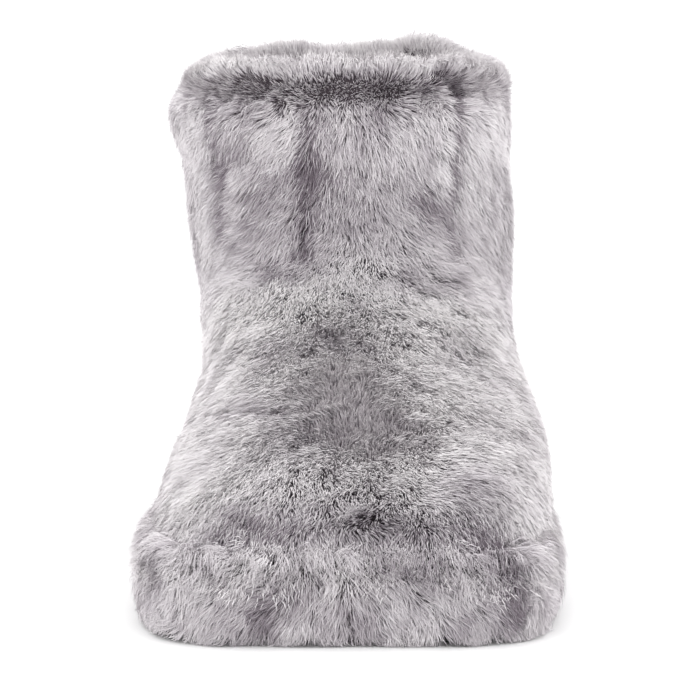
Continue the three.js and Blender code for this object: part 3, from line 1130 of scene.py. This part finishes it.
    def tips(
        self,
        rng: np.random.Generator,
        turn: Array,
        up: Array,
        points: Array,
        gap: Array,
        chance: Array,
        sink: Array,
    ) -> Array:
        """How far the tips stand over the surface: further out along the band's top, deeper between
        two locks, in sunk places and at eased edges, and uneven by chance, by lock and in soft waves.

        Args:
            rng: The random draws.
            turn: Turns.
            up: How far up the stretch each is, from 0 to 1.
            points: Places on the surface, n by 3.
            gap: How far each is from its lock's root, in locks.
            chance: A random number from 0 to 1 for each strand's lock.
            sink: How far the streaks sink each.

        Returns:
            Heights in millimetres.
        """
        habit = self.habit
        ledge = np.exp(-(((points[:, 2] - self.surface.form.ledge) / habit.ledge_reach) ** 2))
        ledge *= mix(habit.ledge_side, 1.0, smooth(0.65, 0.95, np.cos(TURN * turn)))
        tip = rng.normal(0, habit.uneven, len(turn)) - habit.parted * gap**2 + habit.layered * (chance - 0.5)
        tip += self.fill * ledge - sink
        low, high = self.ease
        tip -= low * (1 - smooth(0, habit.eased, up)) + high * smooth(1 - habit.eased, 1, up)
        for size, height, seed in habit.tip_waves:
            tip += height * Waves(size, self.seed + seed).at(points)
        return self.tip + np.minimum(tip, habit.highest + self.fill * ledge)

    def crossways(self, rng: np.random.Generator, places: Array, normal: Array) -> Array:
        """The directions across the strands, level with the surface and then turned by a random roll.

        Args:
            rng: The random draws.
            places: Points of the strands, from root to tip.
            normal: The surface's outward directions at the roots.

        Returns:
            Unit directions, n by 3.
        """
        way = unit(places[:, -1] - places[:, 0])
        flat = unit(np.cross(way, normal))
        roll = rng.normal(0, self.roll, len(places))
        return cover(flat, np.cos(roll)) + cover(np.cross(way, flat), np.sin(roll))

    def tones(
        self, rng: np.random.Generator, points: Array, gap: Array, chance: Array, dark: Array, upright: Array
    ) -> Array:
        """How light the strands are: by chance and by lock, painted darker between two locks as shade, most
        so where they stand upright, in soft patches, and darker along the streaks as painted shade, lighter
        where a streak's dark is below 0 as painted light.

        Args:
            rng: The random draws.
            points: Places on the surface, n by 3.
            gap: How far each is from its lock's root, in locks.
            chance: A random number from 0 to 1 for each strand's lock.
            dark: How much painted shade the streaks give each; below 0, painted light.
            upright: How upright each stands, from 0 to 1.

        Returns:
            Tones from 0 to 1.
        """
        n, habit = len(points), self.habit
        flat, more = habit.tone_spread
        tone = self.tone + (flat + more * upright) * rng.normal(size=n) + habit.lock_tone * (chance - 0.5)
        # Strands between two locks are painted darker: painted shade where the fur parts, strongest where
        # strands stand upright.
        flat, more = habit.painted_gap_shade_share
        tone -= self.painted_gap_shade * (flat + more * upright) * np.minimum(gap, 1) ** 2
        for size, seed in habit.tone_waves:
            tone += self.mottle * Waves(size, self.seed + seed).at(points)
        least, more = habit.dark_share
        # The streaks' painted shade darkens strands; where their dark is below 0 it is painted light.
        tone -= dark * (least + more * rng.random(n))
        return np.clip(tone, 0, 1)

    def grow(self) -> Strands:
        """The strands: each runs along the surface by its comb and rises from its root to its tip,
        is drawn to its lock's own run, and lies the deeper the further it is from the lock's middle.

        Returns:
            The strands.
        """
        rng, habit = np.random.default_rng(self.seed), self.habit
        turn, share = self.scatter(rng)
        n = len(turn)
        up = (share - self.shares[0]) / (self.shares[1] - self.shares[0])
        share = share + self.edge_shift(rng, turn, share, up)
        lock_turn, lock_share, lock_chance = self.guides(turn, share)
        # A lock's lean is a second number worked out from its first.
        lock_lean = np.modf(lock_chance * 7.13)[0]
        d_turn, d_share, joint = self.lie(turn, share, rng.normal(0, self.stray, n), lock_lean)
        g_turn, g_share, _ = self.lie(lock_turn, lock_share, np.zeros(n), lock_lean)
        upright = joint["upright"]
        points = self.surface.point(turn, share)
        gap = np.linalg.norm(points - self.surface.point(lock_turn, lock_share), axis=-1) / self.lock
        run = self.run * rng.uniform(*habit.unlike, n) * (1 - habit.upright_run * upright)
        root = self.root * mix(habit.flat_root, 1.0, upright)
        guard = rng.random(n) < self.guards
        tip = self.tips(rng, turn, up, points, gap, lock_chance, joint["sink"]) + habit.guard_out * guard
        places = np.empty((n, len(STRAND_STEPS), 3))
        for k, t in enumerate(STRAND_STEPS):
            drawn = self.draw * (1 - habit.upright_draw * upright) * t**habit.draw_power
            s = run * t**habit.run_power
            path_turn = mix(turn + s * d_turn, lock_turn + s * g_turn, drawn)
            path_share = mix(share + s * d_share, lock_share + s * g_share, drawn)
            rise = mix(-root, tip, 1 - (1 - t) ** mix(habit.flat_rise, habit.upright_rise, upright))
            over = cover(self.surface.normal(path_turn, path_share), rise)
            places[:, k] = self.surface.point(path_turn, path_share) + over
        places[..., 2] = np.maximum(places[..., 2], habit.floor_gap)
        sides = self.crossways(rng, places, self.surface.normal(turn, share))
        width = self.width * rng.uniform(*habit.unlike, n) * np.where(guard, habit.guard_width, 1.0)
        tone = self.tones(rng, points, gap, lock_chance, joint["dark"], upright)
        return Strands(places, sides, width, tone, self.pale * (1 - upright))


def fur_tint() -> bpy.types.NodeTree:
    """The shared colouring of a strand: dark at the root, the body's colour, then the tip's.

    Returns:
        The node group, with inputs Root, Body, Tip, Along and Tone, and the output Color.
    """
    made = bpy.data.node_groups.new("fur_tint", "ShaderNodeTree")
    face = made.interface
    for label in ("Root", "Body", "Tip"):
        face.new_socket(label, in_out="INPUT", socket_type="NodeSocketColor")
    for label in ("Along", "Tone"):
        face.new_socket(label, in_out="INPUT", socket_type="NodeSocketFloat")
    face.new_socket("Color", in_out="OUTPUT", socket_type="NodeSocketColor")
    nodes, links = made.nodes, made.links
    given, result = nodes.new("NodeGroupInput"), nodes.new("NodeGroupOutput")

    def ranged(value: bpy.types.NodeSocket, low: float, high: float) -> bpy.types.NodeSocket:
        """A soft 0 to 1 step of a value.

        Args:
            value: The value.
            low: Where the step begins.
            high: Where it ends.

        Returns:
            The step's output.
        """
        step = nodes.new("ShaderNodeMapRange")
        step.interpolation_type = "SMOOTHSTEP"
        links.new(value, step.inputs["Value"])
        step.inputs["From Min"].default_value, step.inputs["From Max"].default_value = low, high
        return step.outputs["Result"]

    def blended(
        share: bpy.types.NodeSocket, a: bpy.types.NodeSocket, b: bpy.types.NodeSocket
    ) -> bpy.types.NodeSocket:
        """A colour between two.

        Args:
            share: How much of the second.
            a: The first colour.
            b: The second colour.

        Returns:
            The blend's output.
        """
        node = nodes.new("ShaderNodeMix")
        node.data_type = "RGBA"
        links.new(share, node.inputs["Factor"])
        links.new(a, node.inputs["A"])
        links.new(b, node.inputs["B"])
        return node.outputs["Result"]

    def scaled(a: bpy.types.NodeSocket, b: bpy.types.NodeSocket) -> bpy.types.NodeSocket:
        """The product of two values.

        Args:
            a: The first.
            b: The second.

        Returns:
            The product's output.
        """
        node = nodes.new("ShaderNodeMath")
        node.operation = "MULTIPLY"
        links.new(a, node.inputs[0])
        links.new(b, node.inputs[1])
        return node.outputs["Value"]

    body = blended(ranged(given.outputs["Along"], 0.1, 0.6), given.outputs["Root"], given.outputs["Body"])
    tipped = scaled(ranged(given.outputs["Along"], 0.35, 1.0), ranged(given.outputs["Tone"], 0.1, 0.9))
    tip = blended(tipped, body, given.outputs["Tip"])
    # A low tone darkens the whole strand towards the root's colour; the tone holds random differences and the
    # painted shade and light of gaps, streaks and stretches.
    lit = ranged(given.outputs["Tone"], -0.15, 0.55)
    links.new(blended(lit, given.outputs["Root"], tip), result.inputs["Color"])
    return made


@dataclass(frozen=True)
class FurFinish:
    """The colours of a fur, dark at the roots and silver at the tips.

    Attributes:
        name: The material's name.
        root: The colour at the root.
        body: The colour of the strand.
        tip: The colour at the tip.
        roughness: How matt it is.
        gloss: Its reflection's strength.
    """

    name: str = "plush_fur"
    root: tuple[float, float, float] = (0.14, 0.11, 0.135)
    body: tuple[float, float, float] = (0.57, 0.53, 0.562)
    tip: tuple[float, float, float] = (0.88, 0.86, 0.86)
    roughness: float = 0.7
    gloss: float = 0.15

    def make(self, tint: bpy.types.NodeTree) -> bpy.types.Material:
        """The material, coloured by the strand's own attributes.

        Args:
            tint: The shared colouring.

        Returns:
            The material.
        """
        made = bpy.data.materials.new(self.name)
        made.use_nodes = True
        nodes, links = made.node_tree.nodes, made.node_tree.links
        shader = nodes["Principled BSDF"]
        group = nodes.new("ShaderNodeGroup")
        group.node_tree = tint
        for label, colour in (("Root", self.root), ("Body", self.body), ("Tip", self.tip)):
            group.inputs[label].default_value = (*colour, 1)
        for label, source in (("Along", "along"), ("Tone", "tone")):
            read = nodes.new("ShaderNodeAttribute")
            read.attribute_name = source
            links.new(read.outputs["Fac"], group.inputs[label])
        links.new(group.outputs["Color"], shader.inputs["Base Color"])
        shader.inputs["Roughness"].default_value = self.roughness
        shader.inputs["Specular IOR Level"].default_value = self.gloss
        return made


@dataclass(frozen=True)
class ClothFinish:
    """A backing, lining or rubber: two near colours in a fine mottle with a matching bump.

    Attributes:
        name: The material's name.
        low: The darker colour.
        high: The lighter colour.
        grain: The mottle's scale, in cells a metre.
        depth: The bump's strength.
        roughness: How matt it is.
        gloss: Its reflection's strength.
    """

    name: str
    low: tuple[float, float, float]
    high: tuple[float, float, float]
    grain: float = 900.0
    depth: float = 0.4
    roughness: float = 0.95
    gloss: float = 0.2

    def make(self) -> bpy.types.Material:
        """The material, patterned in the piece's own coordinates.

        Returns:
            The material.
        """
        made = bpy.data.materials.new(self.name)
        made.use_nodes = True
        nodes, links = made.node_tree.nodes, made.node_tree.links
        shader = nodes["Principled BSDF"]
        where = nodes.new("ShaderNodeTexCoord")
        noise = nodes.new("ShaderNodeTexNoise")
        noise.inputs["Scale"].default_value = self.grain
        noise.inputs["Detail"].default_value = 5
        links.new(where.outputs["Object"], noise.inputs["Vector"])
        blend = nodes.new("ShaderNodeMix")
        blend.data_type = "RGBA"
        links.new(noise.outputs["Fac"], blend.inputs["Factor"])
        blend.inputs["A"].default_value, blend.inputs["B"].default_value = (*self.low, 1), (*self.high, 1)
        links.new(blend.outputs["Result"], shader.inputs["Base Color"])
        bump = nodes.new("ShaderNodeBump")
        bump.inputs["Distance"].default_value = 0.001
        bump.inputs["Strength"].default_value = self.depth
        links.new(noise.outputs["Fac"], bump.inputs["Height"])
        links.new(bump.outputs["Normal"], shader.inputs["Normal"])
        shader.inputs["Roughness"].default_value = self.roughness
        shader.inputs["Specular IOR Level"].default_value = self.gloss
        return made


def shell(name: str, outer: list[Array], inner: list[Array]) -> bpy.types.Mesh:
    """A closed wall between two stacks of rings, both from the bottom up.

    Args:
        name: The mesh's name.
        outer: Rings of the outer face.
        inner: Rings of the inner face.

    Returns:
        The mesh, of four-sided faces that run up the outer face and down the inner.
    """
    rings = np.array([*outer, *inner[::-1]])
    count, n = rings.shape[:2]
    k, i = np.meshgrid(np.arange(count), np.arange(n), indexing="ij")
    a, b = k * n + i, k * n + (i + 1) % n
    up = (k + 1) % count * n
    faces = np.stack([a, b, up + (i + 1) % n, up + i], axis=-1).reshape(-1, 4)
    u = np.stack([i, i + 1, i + 1, i], axis=-1) / n
    v = np.stack([k, k, k + 1, k + 1], axis=-1) / count
    flat = np.stack([u, v], axis=-1).reshape(-1, 2)
    return build_mesh(name, rings.reshape(-1, 3), faces, flat)


@dataclass
class Skins:
    """The backing fabric under the fur, coloured near black as painted shade in the gaps between strands: one
    closed wall for each packed fur piece, with its hollow.

    Attributes:
        form: The slipper's sizes.
        around: How many places a ring has.
        band_depth: How deep the band's fabric lies, as a share of the pile.
        collar_depth: How deep the collar's fabric lies, as a share of the pile.
        rim_depth: How deep it lies under the rim, in millimetres.
        facing: How far the collar's inner face stays off the lining, in millimetres.
    """

    form: Form
    around: int = 120
    band_depth: float = 0.75
    collar_depth: float = 0.8
    rim_depth: float = 4.2
    facing: float = 1.0

    def turns(self) -> Array:
        """Even places round a ring."""
        return np.arange(self.around) / self.around

    def rings(self, surface: Surface, depth: float, shares: list[float]) -> list[Array]:
        """Rings of a surface at shares, moved in by a depth."""
        t = self.turns()
        return [surface.inset(t, 0 * t + s, depth) for s in shares]

    def build(self, backing: bpy.types.Material) -> list[bpy.types.Object]:
        """Makes the four walls.

        Args:
            backing: Their material, near black as painted shade.

        Returns:
            The pieces.
        """
        form, t = self.form, self.turns()
        base = form.platform_height + form.clearance
        tuck = form.wrap_thickness + form.clearance
        many = [k / 15 for k in range(16)]
        under_fur = form.wall - form.backing
        upper, shaft = UpperSurface(form), ShaftSurface(form)
        wrap, collar = WrapSurface(form), CollarSurface(form)
        tucked = [form.sole(t, 0 * t + tuck, 0 * t + base)]
        inside = [form.sole(t, 0 * t + tuck + form.fabric, 0 * t + z) for z in (base, form.ledge)]
        walls = {
            "upper": (
                [*tucked, *self.rings(upper, under_fur, [0.02, *many[1:]])],
                [*inside, *self.rings(upper, form.wall, [0.12, 0.24, 0.36, 0.5, 0.62, 0.74, 0.86, 1.0])],
            ),
            "shaft": (self.rings(shaft, under_fur, many), self.rings(shaft, form.wall, many[::3])),
            "sole_wrap": (
                self.rings(wrap, form.pile * self.band_depth, [0.1, 0.25, 0.4, 0.55, 0.7, 0.8, 0.9]),
                [form.sole(t, 0 * t + form.wrap_thickness, 0 * t + z) for z in (4.0, 14.0, 24.0)],
            ),
            "collar": (
                [
                    *self.rings(collar, form.pile * self.collar_depth, [k / 12 for k in range(8)]),
                    *self.rings(RimSurface(form), self.rim_depth, [0.08, 0.2, 0.35, 0.5, 0.65, 0.8]),
                ],
                self.rings(collar, form.wall - self.facing, [0.0, 0.3, 0.55]),
            ),
        }
        return [
            place(shell(node + "_backing", *faces), backing, (node,))
            for node, faces in walls.items()
        ]


# A streak's dark is painted shade in the creases, partings and the vamp's middle; below 0 it is painted light
# along the creases under the ankle seam and on the vamp.
UPPER_STREAKS = (
    Streak((-42, -12, 87), (-4, -26, 95), 9, -0.1, 0.0, -1.2),
    Streak((-4, -26, 95), (38, -30, 88), 9, -0.04, 0.0, -1.2),
    Streak((-34, -26, 88), (-14, -34, 90), 9, -0.24),
    Streak((8, -38, 89), (24, -46, 83), 8, -0.1),
    Streak((-40, -108, 48), (-20, -112, 53), 9, -0.08),
    Streak((3, -113, 53), (18, -116, 51), 11, -0.28, upright=-0.3),
    Streak((-6, -62, 78), (4, -94, 62), 14, -0.12),
    Streak((-46, -127, 34), (48, -128, 33), 7, 0.13),
    Streak((40, -132, 27), (48, -131, 24), 6, 0.25),
    Streak((14, -50, 84), (24, -86, 66), 11, -0.16),
    Streak((24, -86, 66), (26, -106, 56), 10, -0.16),
    Streak((34, -117, 45), (44, -125, 34), 10, 0.26),
    Streak((44, -128, 30), (46, -130, 28), 7, 0.15),
    Streak((-34, -124, 40), (-24, -128, 37), 8, 0.32),
    Streak((-14, -130, 37), (30, -131, 36), 6, 0.2, upright=0.3),
    Streak((-4, -45, 86), (-4, -74, 71), 17, -0.06, upright=0.32),
    Streak((0, -86, 65), (8, -105, 57), 22, -0.06, upright=0.3),
    Streak((4, -105, 57), (12, -124, 46), 24, 0.08, upright=0.55),
    Streak((-50, -128, 26), (50, -130, 26), 5, -0.12, 0.0, -0.8),
    Streak((1, -29, 93), (2, -33, 92), 3, 0.25, 0.2, 0.5),
    Streak((-13, -36, 88), (-6, -48, 85), 2.6, 0.25, 0.2, 0.5),
    Streak((-6, -48, 85), (0, -55, 81), 2.6, 0.3, 0.3, 0.6),
    Streak((4, -50, 84), (9, -54, 82), 2.4, 0.3, 0.3, 0.6),
    Streak((3, -46, 85), (9, -50, 84), 2.2, -0.25, 0.0, -0.8),
    Streak((-34, -72, 65), (-18, -89, 67), 4, 0.25, 0.4, 0.8),
    Streak((5, -55, 81), (21, -74, 72), 3, 0.15, 0.3, 0.6),
    Streak((-14, -127, 43), (-5, -127, 43), 4, 0.15, 0.3, 0.6),
    Streak((39, -127, 34), (41, -126, 32), 4, 0.3, 0.3, 0.8),
    Streak((-38, -127, 31), (-35, -130, 29), 4, 0.4, 0.2, 0.8),
    Streak((-57, -120, 26), (-56, -126, 24), 4, 0.3, 0.2, 0.8),
    Streak((-21, -131, 28), (-19, -136, 26), 4, 0.25, 0.2, 0.8),
)
# Thin lighter ridges beside darker grooves down the ankle and collar: painted light on the ridges, painted
# shade in the grooves.
PANEL_STREAKS = (
    Streak((-40, 1, 158), (-40, 0, 146), 1.8, -0.15, 0.0, -1.2),
    Streak((-46, 2, 152), (-46, 1, 140), 6, 0.32, 0.0, 1.0),
    Streak((-33, -6, 152), (-32, -7, 112), 9, 0.19),
    Streak((0, -12, 147), (10, -12, 132), 9, 0.15),
    Streak((17, -11, 150), (18, -11, 142), 8, 0.12),
    Streak((-36, -3, 134), (-37, -3, 116), 1.8, -0.15, 0.0, -1.2),
    Streak((-41, 2, 134), (-43, 4, 114), 4.5, 0.26, 0.0, 1.0),
    Streak((-37, -3, 114), (-36, -5, 99), 2.5, 0.08, 0.0, 0.8),
    Streak((31, -3, 158), (30, -4, 128), 1.8, -0.15, 0.0, -1.4),
    Streak((36, 0, 158), (34, -3, 128), 3.0, 0.35, 0.0, 1.4),
    Streak((34, -3, 128), (33, -6, 100), 3.0, 0.1, 0.0, 0.8),
    Streak((-11, -11, 150), (-13, -11, 132), 4.0, 0.35, 0.5, 1.2),
    Streak((-12, -11, 132), (-14, -11, 108), 4.0, 0.3, 0.5, 1.2),
    Streak((-8, -11, 138), (-8, -11, 132), 3.0, 0.25, 0.0, 0.6),
)
# Painted shade in the ankle's partings and middle, painted light along the crease over the seam.
SHAFT_STREAKS = (
    *PANEL_STREAKS,
    Streak((-20, -11, 150), (4, -12, 116), 20, 0.13, upright=0.25),
    Streak((-42, -4, 96), (0, -16, 103), 8, -0.1, 0.0, -0.8),
    Streak((0, -16, 103), (36, -10, 97), 8, -0.14, 0.0, -0.8),
    Streak((17, -15, 103), (19, -20, 99), 4, 0.2, 0.2, 0.5),
    Streak((32, -13, 98), (32, -15, 97), 5, 0.35, 0.2, 0.8),
    Streak((24, -7, 125), (25, -7, 122), 5, 0.3, 0.2, 0.5),
    Streak((34, -4, 114), (34, -4, 111), 4, 0.18, 0.2, 0.5),
    Streak((-23, -12, 102), (-21, -15, 101), 5, 0.3, 0.2, 0.5),
)
# Painted light along the rim's top, most on its outer side, and painted shade in a parting on the big-toe
# side.
COLLAR_STREAKS = (
    *PANEL_STREAKS,
    Streak((-46, 3, 161), (-30, -4, 162), 7, -0.15),
    Streak((-44, 0, 158), (-16, -11, 157), 6, -0.08, 0.0, 0.4, 0.2),
    Streak((-16, -11, 156), (7, -10, 157), 6, -0.04, 0.0, 0.4, 0.2),
    Streak((7, -9, 158), (22, -7, 156), 6, 0.04, 0.0, 0.6, 0.2),
    Streak((33, 0, 164), (33, 0, 162), 4, 0.15, 0.6, 0.5),
)
# Painted light along the band's top edge, painted shade in its partings and dips.
WRAP_STREAKS = (
    Streak((-50, -130, 27), (50, -132, 27), 6, -0.1, 0.0, -1.0),
    Streak((8, -134, 24), (29, -134, 24), 5, 0.3, 0.0, 0.8),
    Streak((40, -132, 27), (48, -131, 22), 6, 0.28),
    Streak((-42, -131, 25), (-36, -133, 23), 6, 0.16),
    Streak((48, -132, 25), (48, -135, 9), 5, 0.3, 0.3, 0.8),
    Streak((-24, -140, 10), (-22, -139, 7), 5, 0.15, 0.3, 0.5),
    Streak((-16, -140, 18), (0, -141, 14), 8, 0.14),
    Streak((24, -140, 18), (30, -139, 14), 8, 0.1),
    Streak((-57, -120, 25), (-56, -126, 23), 4, 0.35, 0.2, 0.8),
)


@dataclass
class Fur:
    """All the strands outside and round the rim.

    Attributes:
        form: The slipper's sizes.
    """

    form: Form

    def coats(self) -> list[tuple[Coat, str]]:
        """The stretches of fur, each with the node that it stands for.

        Returns:
            The stretches, in the order of their seeds.
        """
        upper, shaft = UpperSurface(self.form), ShaftSurface(self.form)
        wrap, collar = WrapSurface(self.form), CollarSurface(self.form)
        # The stretches of the one fur get different tones, lowest on the band's front and the ankle: painted
        # shade where less light falls on them.
        over = {"streaks": UPPER_STREAKS, "shares": (-0.08, 1.03), "fill": 4.5, "lock": 2.0, "tone": 0.62}
        ankle = {"streaks": SHAFT_STREAKS, "shares": (0.0, 1.1), "lock": 2.8, "tone": 0.46}
        cuff = {"streaks": COLLAR_STREAKS, "shares": (-0.05, 0.92), "root": 7.0, "lock": 2.8, "tone": 0.52}
        cuff |= {"lift_at": 0.88, "lift_wide": 0.25, "ragged": 0.08}
        rim = {"streaks": COLLAR_STREAKS, "shares": (-0.12, 1.0), "root": 6.0, "tip": 1.4, "run": 3.6}
        rim |= {"lock": 2.8, "lift_at": 0.0, "lift_wide": 0.2, "ease": (2.0, 0.0), "ragged": 0.1}
        band = {"streaks": WRAP_STREAKS, "shares": (0.05, 1.15), "root": 6.0, "fill": 4.0, "run": 6.5}
        band |= {"lock": 3.0, "wander": 0.7, "tuft": 0.4, "mottle": 0.06, "pale": 0.6, "ragged": 0.06}
        whole, front, back = (0.0, 1.0), (-0.25, 0.25), (0.25, 0.75)
        rows = (
            ("vamp_fur", "upper", upper, Comb.UPPER, 96000, (-0.16, 0.16), over),
            ("quarter_right_fur", "upper", upper, Comb.UPPER, 58000, (0.16, 0.5), over),
            ("quarter_left_fur", "upper", upper, Comb.UPPER, 58000, (0.5, 0.84), over),
            ("ankle_front_fur", "shaft", shaft, Comb.SHAFT, 48000, front, ankle),
            ("ankle_back_fur", "shaft", shaft, Comb.SHAFT, 30000, back, ankle),
            ("cuff_fur", "collar", collar, Comb.CUFF, 48000, whole, cuff),
            ("rim_fur", "collar", RimSurface(self.form), Comb.RIM, 40000, whole, rim),
            # The band's front is given a lower tone than its back: painted shade.
            ("band_front_fur", "sole_wrap", wrap, Comb.WRAP, 44000, front, band | {"tone": 0.43}),
            ("band_back_fur", "sole_wrap", wrap, Comb.WRAP, 30000, back, band | {"tone": 0.5}),
        )
        first_seed = 2
        return [
            (Coat(name, surface, comb, strands, turns, seed=seed, **habits), node)
            for seed, (name, node, surface, comb, strands, turns, habits) in enumerate(rows, first_seed)
        ]

    def build(self, look: bpy.types.Material) -> None:
        """Grows each stretch and puts it in the scene."""
        for coat, node in self.coats():
            place(coat.grow().mesh(coat.name), look, (node,))


@dataclass
class Lining:
    """The short plush inside: strands round the mouth, the cloth under them, and the padded insole.

    Attributes:
        form: The slipper's sizes.
        around: How many places a ring of the cloth has.
        rows: Into how many rows the cloth's height is divided.
        deep: The level at which its upper part begins.
        foot_heights: The heights of its two lowest rings, at the insole and above it.
        before: How far in front of the lining its front lies.
        behind: How far behind the lining its back lies.
        pad_around: How many places a ring of the insole has.
    """

    form: Form
    around: int = 120
    rows: int = 24
    deep: float = 0.15
    foot_heights: tuple[float, float] = (17.0, 26.0)
    before: float = 0.5
    behind: float = 0.4
    pad_around: int = 96

    def build(self, look: bpy.types.Material, insole_look: bpy.types.Material) -> None:
        """Makes the lining's fur and the insole.

        Args:
            look: The lining's plush.
            insole_look: The cloth of the lining's skin and the insole.
        """
        inner = LiningSurface(self.form)
        place(self.skin(), insole_look, ())
        soft = {"run": 6.0, "root": 1.0, "tip": 3.0, "width": 0.45, "tone": 0.7, "shares": (0.0, 0.87)}
        coat = Coat("mouth_lining_fur", inner, Comb.LINING, 25000, seed=12, **soft)
        place(coat.grow().mesh(coat.name), look, ())
        piece = place(self.insole(), insole_look, ("insole",))

    def skin(self) -> bpy.types.Mesh:
        """The lining's cloth: a closed thin wall down the whole inside, from the rim to the insole.

        Returns:
            The mesh, a stack of rings in front of the cloth and one behind it.
        """
        form, t = self.form, np.arange(self.around) / self.around
        whole = LiningSurface(form, deep=self.deep)
        faces = []
        for depth in (-self.before, self.behind):
            inset = form.wrap_thickness + form.clearance + form.fabric - depth
            low = [form.sole(-t, 0 * t + inset, 0 * t + z) for z in self.foot_heights]
            shares = [k / self.rows for k in range(1, self.rows)]
            faces.append([*low, *(whole.inset(t, 0 * t + share, depth) for share in shares)])
        return shell("lining_skin", *faces)

    def insole(self) -> bpy.types.Mesh:
        """The insole: a crowned pad whose top falls from its middle by the fourth power of the share out.

        Returns:
            The mesh, a closed form on rings that shrink to the middle above and below.
        """
        form = self.form
        t = np.arange(self.pad_around) / self.pad_around
        base = form.platform_height + form.clearance
        inset = form.wrap_thickness + 2 * form.clearance + form.fabric
        edge = form.sole(t, 0 * t + inset, 0 * t)
        centre = edge.mean(axis=0)
        fall = 0.45
        middle = 0.001
        under = [(share, 0.0) for share in (middle, 0.6, 0.97)]
        rows = [*under, (1.0, fall)]
        rows += [(share, 1 - fall * share**4) for share in (0.985, 0.93, 0.8, 0.6, 0.35, middle)]
        rings = []
        for share, high in rows:
            ring = centre + (edge - centre) * share
            ring[:, 2] = base + high * form.insole_thickness
            rings.append(ring)
        return shell("insole_pad", rings, [])


@dataclass(frozen=True)
class Softbox:
    """A soft square light.

    Attributes:
        name: Its name.
        power: Its power in watts.
        spot: Where it hangs, in metres.
        turn: How it is turned, in degrees.
        size: Its side in metres.
    """

    name: str
    power: float
    spot: tuple[float, float, float]
    turn: tuple[float, float, float]
    size: float = 1.6

    def hang(self) -> None:
        """Puts the light in the scene."""
        light = bpy.data.lights.new(self.name, "AREA")
        light.energy, light.size = self.power, self.size
        holder = bpy.data.objects.new(self.name, light)
        holder.location = self.spot
        holder.rotation_euler = Euler([math.radians(a) for a in self.turn])
        bpy.context.scene.collection.objects.link(holder)


SOFTBOXES = (
    Softbox("left_softbox", 7.5, (-1.1, -0.9, 1.1), (52, 0, -50)),
    Softbox("right_softbox", 6.5, (1.2, -0.7, 1.0), (55, 0, 60)),
    Softbox("top_softbox", 5.0, (0.0, 0.1, 1.6), (0, 0, 0)),
)


@dataclass
class Studio:
    """The plain floor, soft lights and the camera at the photograph's angle. Lengths are in millimetres.

    Attributes:
        focal: The lens's focal length, in pixels of the image.
        frame_width: The image's width in pixels.
        sensor: The camera's sensor width.
        toe: Where the toe's front is along the shoe.
        away: How far in front of it the camera stands.
        height: How high the camera stands.
        pitch: How far it looks down, in degrees.
        aside: How far it stands to the right.
        floor_side: Half the floor's side.
        daylight: The white room's strength.
    """

    focal: float = 3896
    frame_width: float = 700
    sensor: float = 36
    toe: float = -140.8
    away: float = 1138
    height: float = 238.3
    pitch: float = 7.42
    aside: float = 0.7
    floor_side: float = 4000.0
    daylight: float = 1.28

    def lay_floor(self) -> None:
        """Makes the floor, one large square."""
        side = self.floor_side
        corners = np.array([(-side, -side, 0), (side, -side, 0), (side, side, 0), (-side, side, 0)], float)
        made = build_mesh("floor", corners, np.array([[0, 1, 2, 3]]), corners[:, :2] / (2 * side) + 0.5)
        floor = bpy.data.objects.new("floor", made)
        bpy.context.scene.collection.objects.link(floor)
        pale = bpy.data.materials.new("pale_floor")
        pale.use_nodes = True
        shader = pale.node_tree.nodes["Principled BSDF"]
        shader.inputs["Base Color"].default_value = (0.93, 0.93, 0.93, 1)
        shader.inputs["Roughness"].default_value = 0.9
        made.materials.append(pale)

    def set_camera(self) -> None:
        """Puts up the camera in front of the toe, looking along the shoe and a little down."""
        scene = bpy.context.scene
        lens = bpy.data.cameras.new("camera")
        lens.sensor_width = self.sensor
        lens.lens = self.focal / self.frame_width * lens.sensor_width
        camera = bpy.data.objects.new("camera", lens)
        camera.location = (self.aside * MM, (self.toe - self.away) * MM, self.height * MM)
        camera.rotation_euler = Euler((math.radians(90 - self.pitch), 0, 0))
        scene.collection.objects.link(camera)
        scene.camera = camera

    def build(self) -> None:
        """Makes the floor, the lights, the white room and the camera."""
        self.lay_floor()
        for softbox in SOFTBOXES:
            softbox.hang()
        world = bpy.data.worlds.new("white_room")
        world.use_nodes = True
        world.node_tree.nodes["Background"].inputs["Color"].default_value = (1, 1, 1, 1)
        world.node_tree.nodes["Background"].inputs["Strength"].default_value = self.daylight
        bpy.context.scene.world = world
        bpy.context.scene.view_settings.view_transform = "Standard"
        self.set_camera()


def main() -> None:
    """Builds the slipper and its studio."""
    logging.basicConfig(level=logging.INFO, format="%(message)s")
    form = Form()
    tint = fur_tint()
    fur = FurFinish().make(tint)
    lining = FurFinish("plush_lining", (0.30, 0.27, 0.28), (0.52, 0.49, 0.5), (0.78, 0.75, 0.755)).make(tint)
    # The backing is near black as painted shade: it stands for the shadow deep among the roots, where the
    # gaps between strands show it.
    backing = ClothFinish("fur_backing_painted_shade", (0.05, 0.04, 0.048), (0.12, 0.10, 0.11)).make()
    plush = ClothFinish("insole_plush", (0.45, 0.43, 0.44), (0.75, 0.72, 0.73), grain=700.0, depth=0.8).make()
    tread = {"grain": 1500.0, "depth": 0.25, "roughness": 0.6}
    rubber = ClothFinish("sole_rubber", (0.10, 0.095, 0.10), (0.14, 0.13, 0.14), **tread).make()
    Skins(form).build(backing)
    Fur(form).build(fur)
    Lining(form).build(lining, plush)
    for slot in bpy.data.objects["sole"].material_slots:
        slot.material = rubber
    log.info("sole: the packed solid, in slot %s", Slot.SOLE.value)
    Studio().build()


if __name__ == "__main__":
    main()
